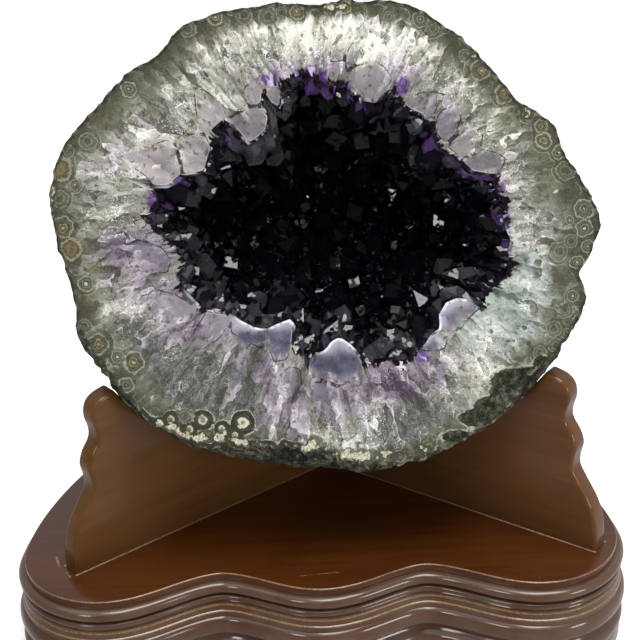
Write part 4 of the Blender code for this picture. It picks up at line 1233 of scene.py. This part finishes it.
def measure_points(mesh, flat, edge, opening, shapes):
    """What the finish reads at the points of the sawn face, with a far value on all others."""
    rim, hollow = distance_to(flat, edge), distance_to(flat, opening)
    add_measure(mesh, "rim", "POINT", rim)
    add_measure(mesh, "hollow", "POINT", hollow, 90.0)
    width = np.interp(np.degrees(np.arctan2(flat[:, 1], flat[:, 0])) % 360, *zip(*RIND_WIDTHS),
                      period=360)
    add_measure(mesh, "rind_depth", "POINT", rim * 12.0 / width)
    from_middle = flat - HOLLOW_CENTRE
    bearing = np.arctan2(from_middle[:, 1], from_middle[:, 0])
    streak = np.stack((np.cos(bearing) * STREAK_SPREAD, np.sin(bearing) * STREAK_SPREAD,
                       np.hypot(*from_middle.T) * STREAK_PACE), axis=1)
    add_measure(mesh, "streak", "POINT", streak)
    seam = np.full(len(flat), 9.0)
    for _, line in shapes:
        seam = np.minimum(seam, distance_to(flat, line))
    add_measure(mesh, "seam", "POINT", seam, 9.0)
    add_measure(mesh, "bank", "POINT", bank_distance(flat, rim), FAR)
    for name, patches in (("violet", VIOLET_PATCHES), ("milky", MILKY_AND_TOP_LIT_PATCHES),
                          ("mint", MINT_PATCHES), ("gritty", GRITTY_PATCHES),
                          ("lit_edge", LIT_EDGES), ("vivid", VIVID_PATCHES),
                          ("bluish", BLUISH_PATCHES), ("cream", CREAM_PATCHES),
                          ("mossy", MOSSY_PATCHES)):
        add_measure(mesh, name, "POINT", patch_strength(flat, patches))


def bank_distance(flat, rim):
    """Distance from the banks of agate round the eyes and along the rim, run smoothly together."""
    by_eyes = np.full(len(flat), FAR)
    for u, v, radius, _ in EYES:
        by_eyes = np.minimum(by_eyes, np.hypot(flat[:, 0] - u, flat[:, 1] - v) - radius * 1.28)
    by_rim, blend = rim - 2.2, 4.0
    share = np.clip(0.5 + 0.5 * (by_rim - by_eyes) / blend, 0.0, 1.0)
    return by_rim * (1 - share) + by_eyes * share - blend * share * (1 - share)


def measure_triangles(mesh, flat, triangles, shapes):
    """Which sawn crystal and which agate eye each triangle of the face belongs to."""
    middles = flat[triangles].mean(axis=1)
    sawn, sawn_violet = np.zeros(len(triangles)), np.zeros(len(triangles))
    for violet, line in shapes:
        within = np.where(are_inside(middles, line))[0]
        sawn[within] = 1.0
        sawn_violet[within] = violet
    add_measure(mesh, "sawn", "FACE", sawn)
    add_measure(mesh, "sawn_violet", "FACE", sawn_violet)
    eyes = np.array(EYES)
    gaps = np.hypot(middles[:, None, 0] - eyes[None, :, 0],
                    middles[:, None, 1] - eyes[None, :, 1]) - eyes[None, :, 2]
    nearest = gaps.argmin(axis=1)
    add_measure(mesh, "eye_kind", "FACE", eyes[nearest, 3])
    seeds = np.random.default_rng(8).uniform(0.0, 1.0, len(eyes))
    add_measure(mesh, "eye_seed", "FACE", seeds[nearest])
    layer = mesh.uv_layers.new(name="eyes")
    spread = np.full((len(mesh.loops), 2), 9.0)
    owners = np.repeat(nearest, 3)
    spread[:len(owners)] = (flat[triangles.ravel()] - eyes[owners, :2]) / eyes[owners, 2:3]
    layer.data.foreach_set("uv", spread.ravel())


# Crystals

def crystal_shape(rng, slim):
    """A six-sided crystal one unit across, along Z: a short prism under a blunt point.

    The point has six faces, or three where every other face has grown over its neighbours.
    """
    prism = rng.uniform(0.25, 0.8) * slim
    three_faced = rng.random() < 0.6
    fall = rng.uniform(0.24, 0.36) if three_faced else rng.uniform(0.42, 0.62)
    feet, shoulders = [], []
    for i in range(6):
        angle = i * math.pi / 3
        x, y = 0.5 * math.cos(angle), 0.5 * math.sin(angle)
        feet.append((x * 0.97, y * 0.97, -0.5))
        drop = 2 * fall if three_faced and i % 2 else fall
        shoulders.append((x, y, prism + 0.6 - drop))
    points = np.array(feet + shoulders + [(0.0, 0.0, prism + 0.6)])
    points[:, 0] *= rng.uniform(0.78, 1.1)
    points[:, 1] *= rng.uniform(0.85, 1.15)
    lean = rng.uniform(-0.22, 0.22), rng.uniform(-0.22, 0.22)
    points[6:, 2] += points[6:, 0] * lean[0] + points[6:, 1] * lean[1]
    faces = [tuple(range(5, -1, -1))] + [(i, (i + 1) % 6, 6 + (i + 1) % 6, 6 + i) for i in range(6)]
    if three_faced:
        faces += [(6 + i, 6 + i + 1, 6 + (i + 2) % 6, 12) for i in (0, 2, 4)]
    else:
        faces += [(6 + i, 6 + (i + 1) % 6, 12) for i in range(6)]
    return points, faces


def bowl_wall(bearing, dip, radii):
    """Point of the bowl's wall; bearing goes round the opening and dip from the face to the back."""
    radius = float(np.interp(bearing, *radii, period=2 * math.pi))
    return np.array((HOLLOW_CENTRE[0] + radius * math.cos(bearing) * math.cos(dip),
                     BOWL_DEPTH * math.sin(dip),
                     HOLLOW_CENTRE[1] + radius * math.sin(bearing) * math.cos(dip)))


def turned_to(way, rng):
    """A turn that takes Z to the given way, spun at random."""
    way = Vector(way).normalized()
    spin = Matrix.Rotation(rng.uniform(0.0, 2 * math.pi), 3, "Z")
    return np.array(way.to_track_quat("Z", "Y").to_matrix() @ spin)


def scattered(rng, radii):
    """Places for the crystals: the big ones first, then the smaller ones between them."""
    placed = []
    points, sizes = np.empty((9000, 3)), np.empty(9000)
    for width, tries, room in CRYSTAL_SIZES:
        for _ in range(tries):
            bearing = rng.uniform(-math.pi, math.pi)
            dip = math.asin(rng.uniform(0.02, 1.0))
            point = bowl_wall(bearing, dip, radii)
            size = width * rng.uniform(0.8, 1.25)
            count = len(placed)
            gaps = np.linalg.norm(points[:count] - point, axis=1)
            if (gaps > (size + sizes[:count]) / 2 * room).all():
                points[count], sizes[count] = point, size
                placed.append((point, size, bearing, dip))
    return placed


def rim_crystals(rng, opening):
    """Crystals just behind the edge of the hollow: place, way, width and which material."""
    made = []
    line = along_length(opening, 150, True)
    centre = np.array(HOLLOW_CENTRE)
    violet = patch_strength(line, VIVID_PATCHES)
    smoky_and_lit = patch_strength(line, SMOKY_AND_LIT_PATCHES)
    for point, is_violet, is_smoky_and_lit in zip(line, violet, smoky_and_lit):
        inward = (centre - point) / np.linalg.norm(centre - point)
        way = np.array((inward[0] + rng.gauss(0, 0.35), rng.uniform(0.1, 0.9),
                        inward[1] + rng.gauss(0, 0.35)))
        width = rng.uniform(3.8, 8.5)
        # Paler crystals on the rim are partly painted light
        slot = BRIGHT if is_violet > 0.45 else SMOKY_AND_LIT if is_smoky_and_lit > rng.uniform(0.25, 0.9) else DEEP
        made.append((np.array((point[0], 0.0, point[1])), way / np.linalg.norm(way), width, slot))
    return made


def crust_wall(centre, offset):
    """The closed bowl that the crystals stand on: its points and faces."""
    inner, outer = [], []
    for depth in CRUST_DEPTHS:
        way = offset * math.sqrt(1 - (depth / BOWL_DEPTH) ** 2)
        inner.append(at_depth(centre + way, depth))
        length = np.maximum(np.linalg.norm(way, axis=1)[:, None], 8.0)
        outer.append(at_depth(centre + way * (1 + CRUST_THICKNESS / length),
                              depth + (1.5 if outer else 0.0)))
    tips = [[(centre[0], depth, centre[1])] for depth in (BOWL_DEPTH, BOWL_DEPTH + CRUST_THICKNESS)]
    sides = len(offset)
    last = (len(inner) - 1) * sides
    base = last + sides + 1
    faces = []
    for k in range(0, last, sides):
        for i in range(sides):
            j = (i + 1) % sides
            faces.append((k + i, k + j, k + sides + j, k + sides + i))
            faces.append((base + k + j, base + k + i, base + k + sides + i, base + k + sides + j))
    for i in range(sides):
        j = (i + 1) % sides
        faces.append((last + i, last + j, last + sides))
        faces.append((base + last + j, base + last + i, base + last + sides))
        faces.append((j, i, base + i, base + j))
    return np.vstack((*inner, tips[0], *outer, tips[1])), faces


def make_crystals(materials):
    """The crust of crystals in the hollow, with paler and brighter ones at its edge; the paler ones are
    partly painted light.
    """
    rng = random.Random(23)
    opening = along_length(OPENING, OPENING_POINTS, True)
    centre = np.array(HOLLOW_CENTRE)
    offset = opening - centre
    bearings = np.arctan2(offset[:, 1], offset[:, 0])
    order = np.argsort(bearings)
    radii = (bearings[order], np.hypot(*offset.T)[order])
    points, faces, slots = [], [], []
    total = 0

    def add(shape, shape_faces, slot):
        nonlocal total
        points.append(shape)
        faces.extend(tuple(total + i for i in face) for face in shape_faces)
        slots.extend([slot] * len(shape_faces))
        total += len(shape)

    for point, size, bearing, dip in scattered(rng, radii):
        inward = -np.array((math.cos(bearing) * math.cos(dip) / BOWL_ACROSS,
                            math.sin(dip) / BOWL_DEPTH, math.sin(bearing) * math.cos(dip) / BOWL_UP))
        inward /= np.linalg.norm(inward)
        way = inward + np.array([rng.gauss(0.0, CRYSTAL_STRAY) for _ in range(3)])
        way /= np.linalg.norm(way)
        shape, shape_faces = crystal_shape(rng, 1.0)
        shape = shape * size @ turned_to(way, rng).T + point - inward * size * 0.15
        if shape[:, 1].min() < 0.4:
            shape[:, 1] += 0.4 - shape[:, 1].min()
        pale = patch_strength(np.array([(point[0], point[2])]), SMOKY_AND_LIT_PATCHES)[0]
        # Paler crystals near the opening are partly painted light
        add(shape, shape_faces, SMOKY_AND_LIT if point[1] < 45.0 and pale * 0.6 > rng.random() else DEEP)
    for point, way, width, slot in rim_crystals(rng, opening):
        shape, shape_faces = crystal_shape(rng, 1.3)
        shape = shape * width @ turned_to(way, rng).T + point - way * width * 0.3
        shape[:, 1] += 0.25 - shape[:, 1].min()
        add(shape, shape_faces, slot)

    add(*crust_wall(centre, offset), FEET)
    crust = mesh_piece("amethyst_points", np.vstack(points), faces, materials, slots)
    turn_outwards(crust)
    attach(crust, "root")
    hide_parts("amethyst_crystals")


# Studio

def set_camera():
    back = Vector((-math.sin(CAMERA_YAW) * math.cos(CAMERA_PITCH),
                   -math.cos(CAMERA_YAW) * math.cos(CAMERA_PITCH), math.sin(CAMERA_PITCH)))
    right = (-back).cross(Vector((0.0, 0.0, 1.0))).normalized()
    up = right.cross(-back)
    across = right * math.cos(CAMERA_ROLL) - up * math.sin(CAMERA_ROLL)
    upward = right * math.sin(CAMERA_ROLL) + up * math.cos(CAMERA_ROLL)
    bpy.ops.object.camera_add()
    camera = bpy.context.object
    camera.name = "studio_camera"
    camera.data.lens = CAMERA_LENS
    camera.data.sensor_width = 36.0
    camera.data.clip_start = 0.01
    turn = Matrix((across, upward, back)).transposed().to_4x4()
    camera.matrix_world = Matrix.Translation(CAMERA_PLACE) @ turn
    bpy.context.scene.camera = camera


def area_lamp(name, place, target, width, height, power):
    bpy.ops.object.light_add(type="AREA", location=place)
    lamp = bpy.context.object
    lamp.name = name
    lamp.data.shape = "RECTANGLE"
    lamp.data.size, lamp.data.size_y = width, height
    lamp.data.energy = power
    way = Vector(place) - Vector(target)
    lamp.rotation_euler = way.to_track_quat("Z", "Y").to_euler()


def set_studio():
    """A pale floor, a world that is darker towards the camera's side, soft lamps and even light."""
    world = bpy.data.worlds.new("studio")
    world.use_nodes = True
    bpy.context.scene.world = world
    n = Nodes(world.node_tree)
    seen = n.put("LightPath").outputs["Is Camera Ray"]
    way = n.put("SeparateXYZ", Vector=n.put("TexCoord").outputs["Generated"]).outputs
    behind, from_below, from_right = [
        n.ramp(n.maths("MULTIPLY_ADD", way[axis], 0.5, 0.5), *shades) for axis, shades in WORLD_SHADES]
    around = n.mix(1.0, n.mix(1.0, behind, from_below, "ADD"), from_right, "ADD")
    n.join(n.mix(seen, around, (0.88, 0.88, 0.88)), n.tree.nodes["Background"].inputs["Color"])

    bpy.ops.mesh.primitive_plane_add(size=16.0, location=(0.0, 5.0, -0.0005))
    floor = bpy.context.object
    floor.name = "studio_floor"
    material, n = start_material("pale floor")
    cloud = n.mottle(n.in_millimetres(), 0.004, 2.0)
    n.surface(Base_Color=n.mix(cloud, (0.9, 0.9, 0.9), (0.93, 0.93, 0.93)), Roughness=0.8,
              Emission_Color=(1.0, 1.0, 1.0), Emission_Strength=0.46)
    floor.data.materials.append(material)
    floor.visible_glossy = False

    area_lamp("overhead_softbox", (0.2, -0.35, 1.35), (0.0, -0.05, 0.15), 0.85, 0.6, 10.5)
    area_lamp("front_softbox", (-0.85, -1.3, 0.9), (0.0, 0.0, 0.15), 0.34, 0.36, 3.2)
    area_lamp("side_lamp", (1.1, -0.95, 0.38), (0.0, -0.05, 0.2), 0.4, 0.34, 3.6)
    bpy.ops.object.light_add(type="SUN", location=(0.0, 0.0, 2.0))
    sun = bpy.context.object
    sun.name = "even_light"
    sun.data.energy = 0.85
    sun.data.angle = math.radians(70)
    sun.rotation_euler = (math.radians(12), math.radians(-8), 0.0)
    bpy.context.scene.view_settings.view_transform = "Standard"


def build():
    set_camera()
    set_studio()
    wood = lacquered_wood("lacquered wood of the plinth", 0.0, PLINTH_WOOD, True)
    moulded_board("plinth_top_moulding", "plinth_top", top_profile(), wood)
    moulded_board("plinth_base_moulding", "plinth_base", base_profile(), wood)
    # The two cradle boards' different shades are partly painted light
    left_wood = lacquered_wood("lacquered wood of the left board", BOARD_ANGLE, LEFT_WOOD)
    right_wood = lacquered_wood("lacquered wood of the right board", -BOARD_ANGLE, RIGHT_WOOD)
    left, right = cradle_board("left_board", -1), cradle_board("right_board", 1)
    cut_slot(left, 1, True)
    cut_slot(right, -1, False)
    for board, material, node_name in ((left, left_wood, "left_cradle_board"),
                                       (right, right_wood, "right_cradle_board")):
        smooth_up_to(board, WOOD_SMOOTH)
        put_down(board, material)
        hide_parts(node_name)
    make_shell(polished_agate(), natural_skin())
    make_crystals((clear_amethyst("deep amethyst", *DEEP_CLEAR),
                   clear_amethyst("bright amethyst", *BRIGHT_CLEAR), drusy_wall(),
                   clear_amethyst("smoky amethyst", *SMOKY_AND_LIT_CLEAR)))


build()
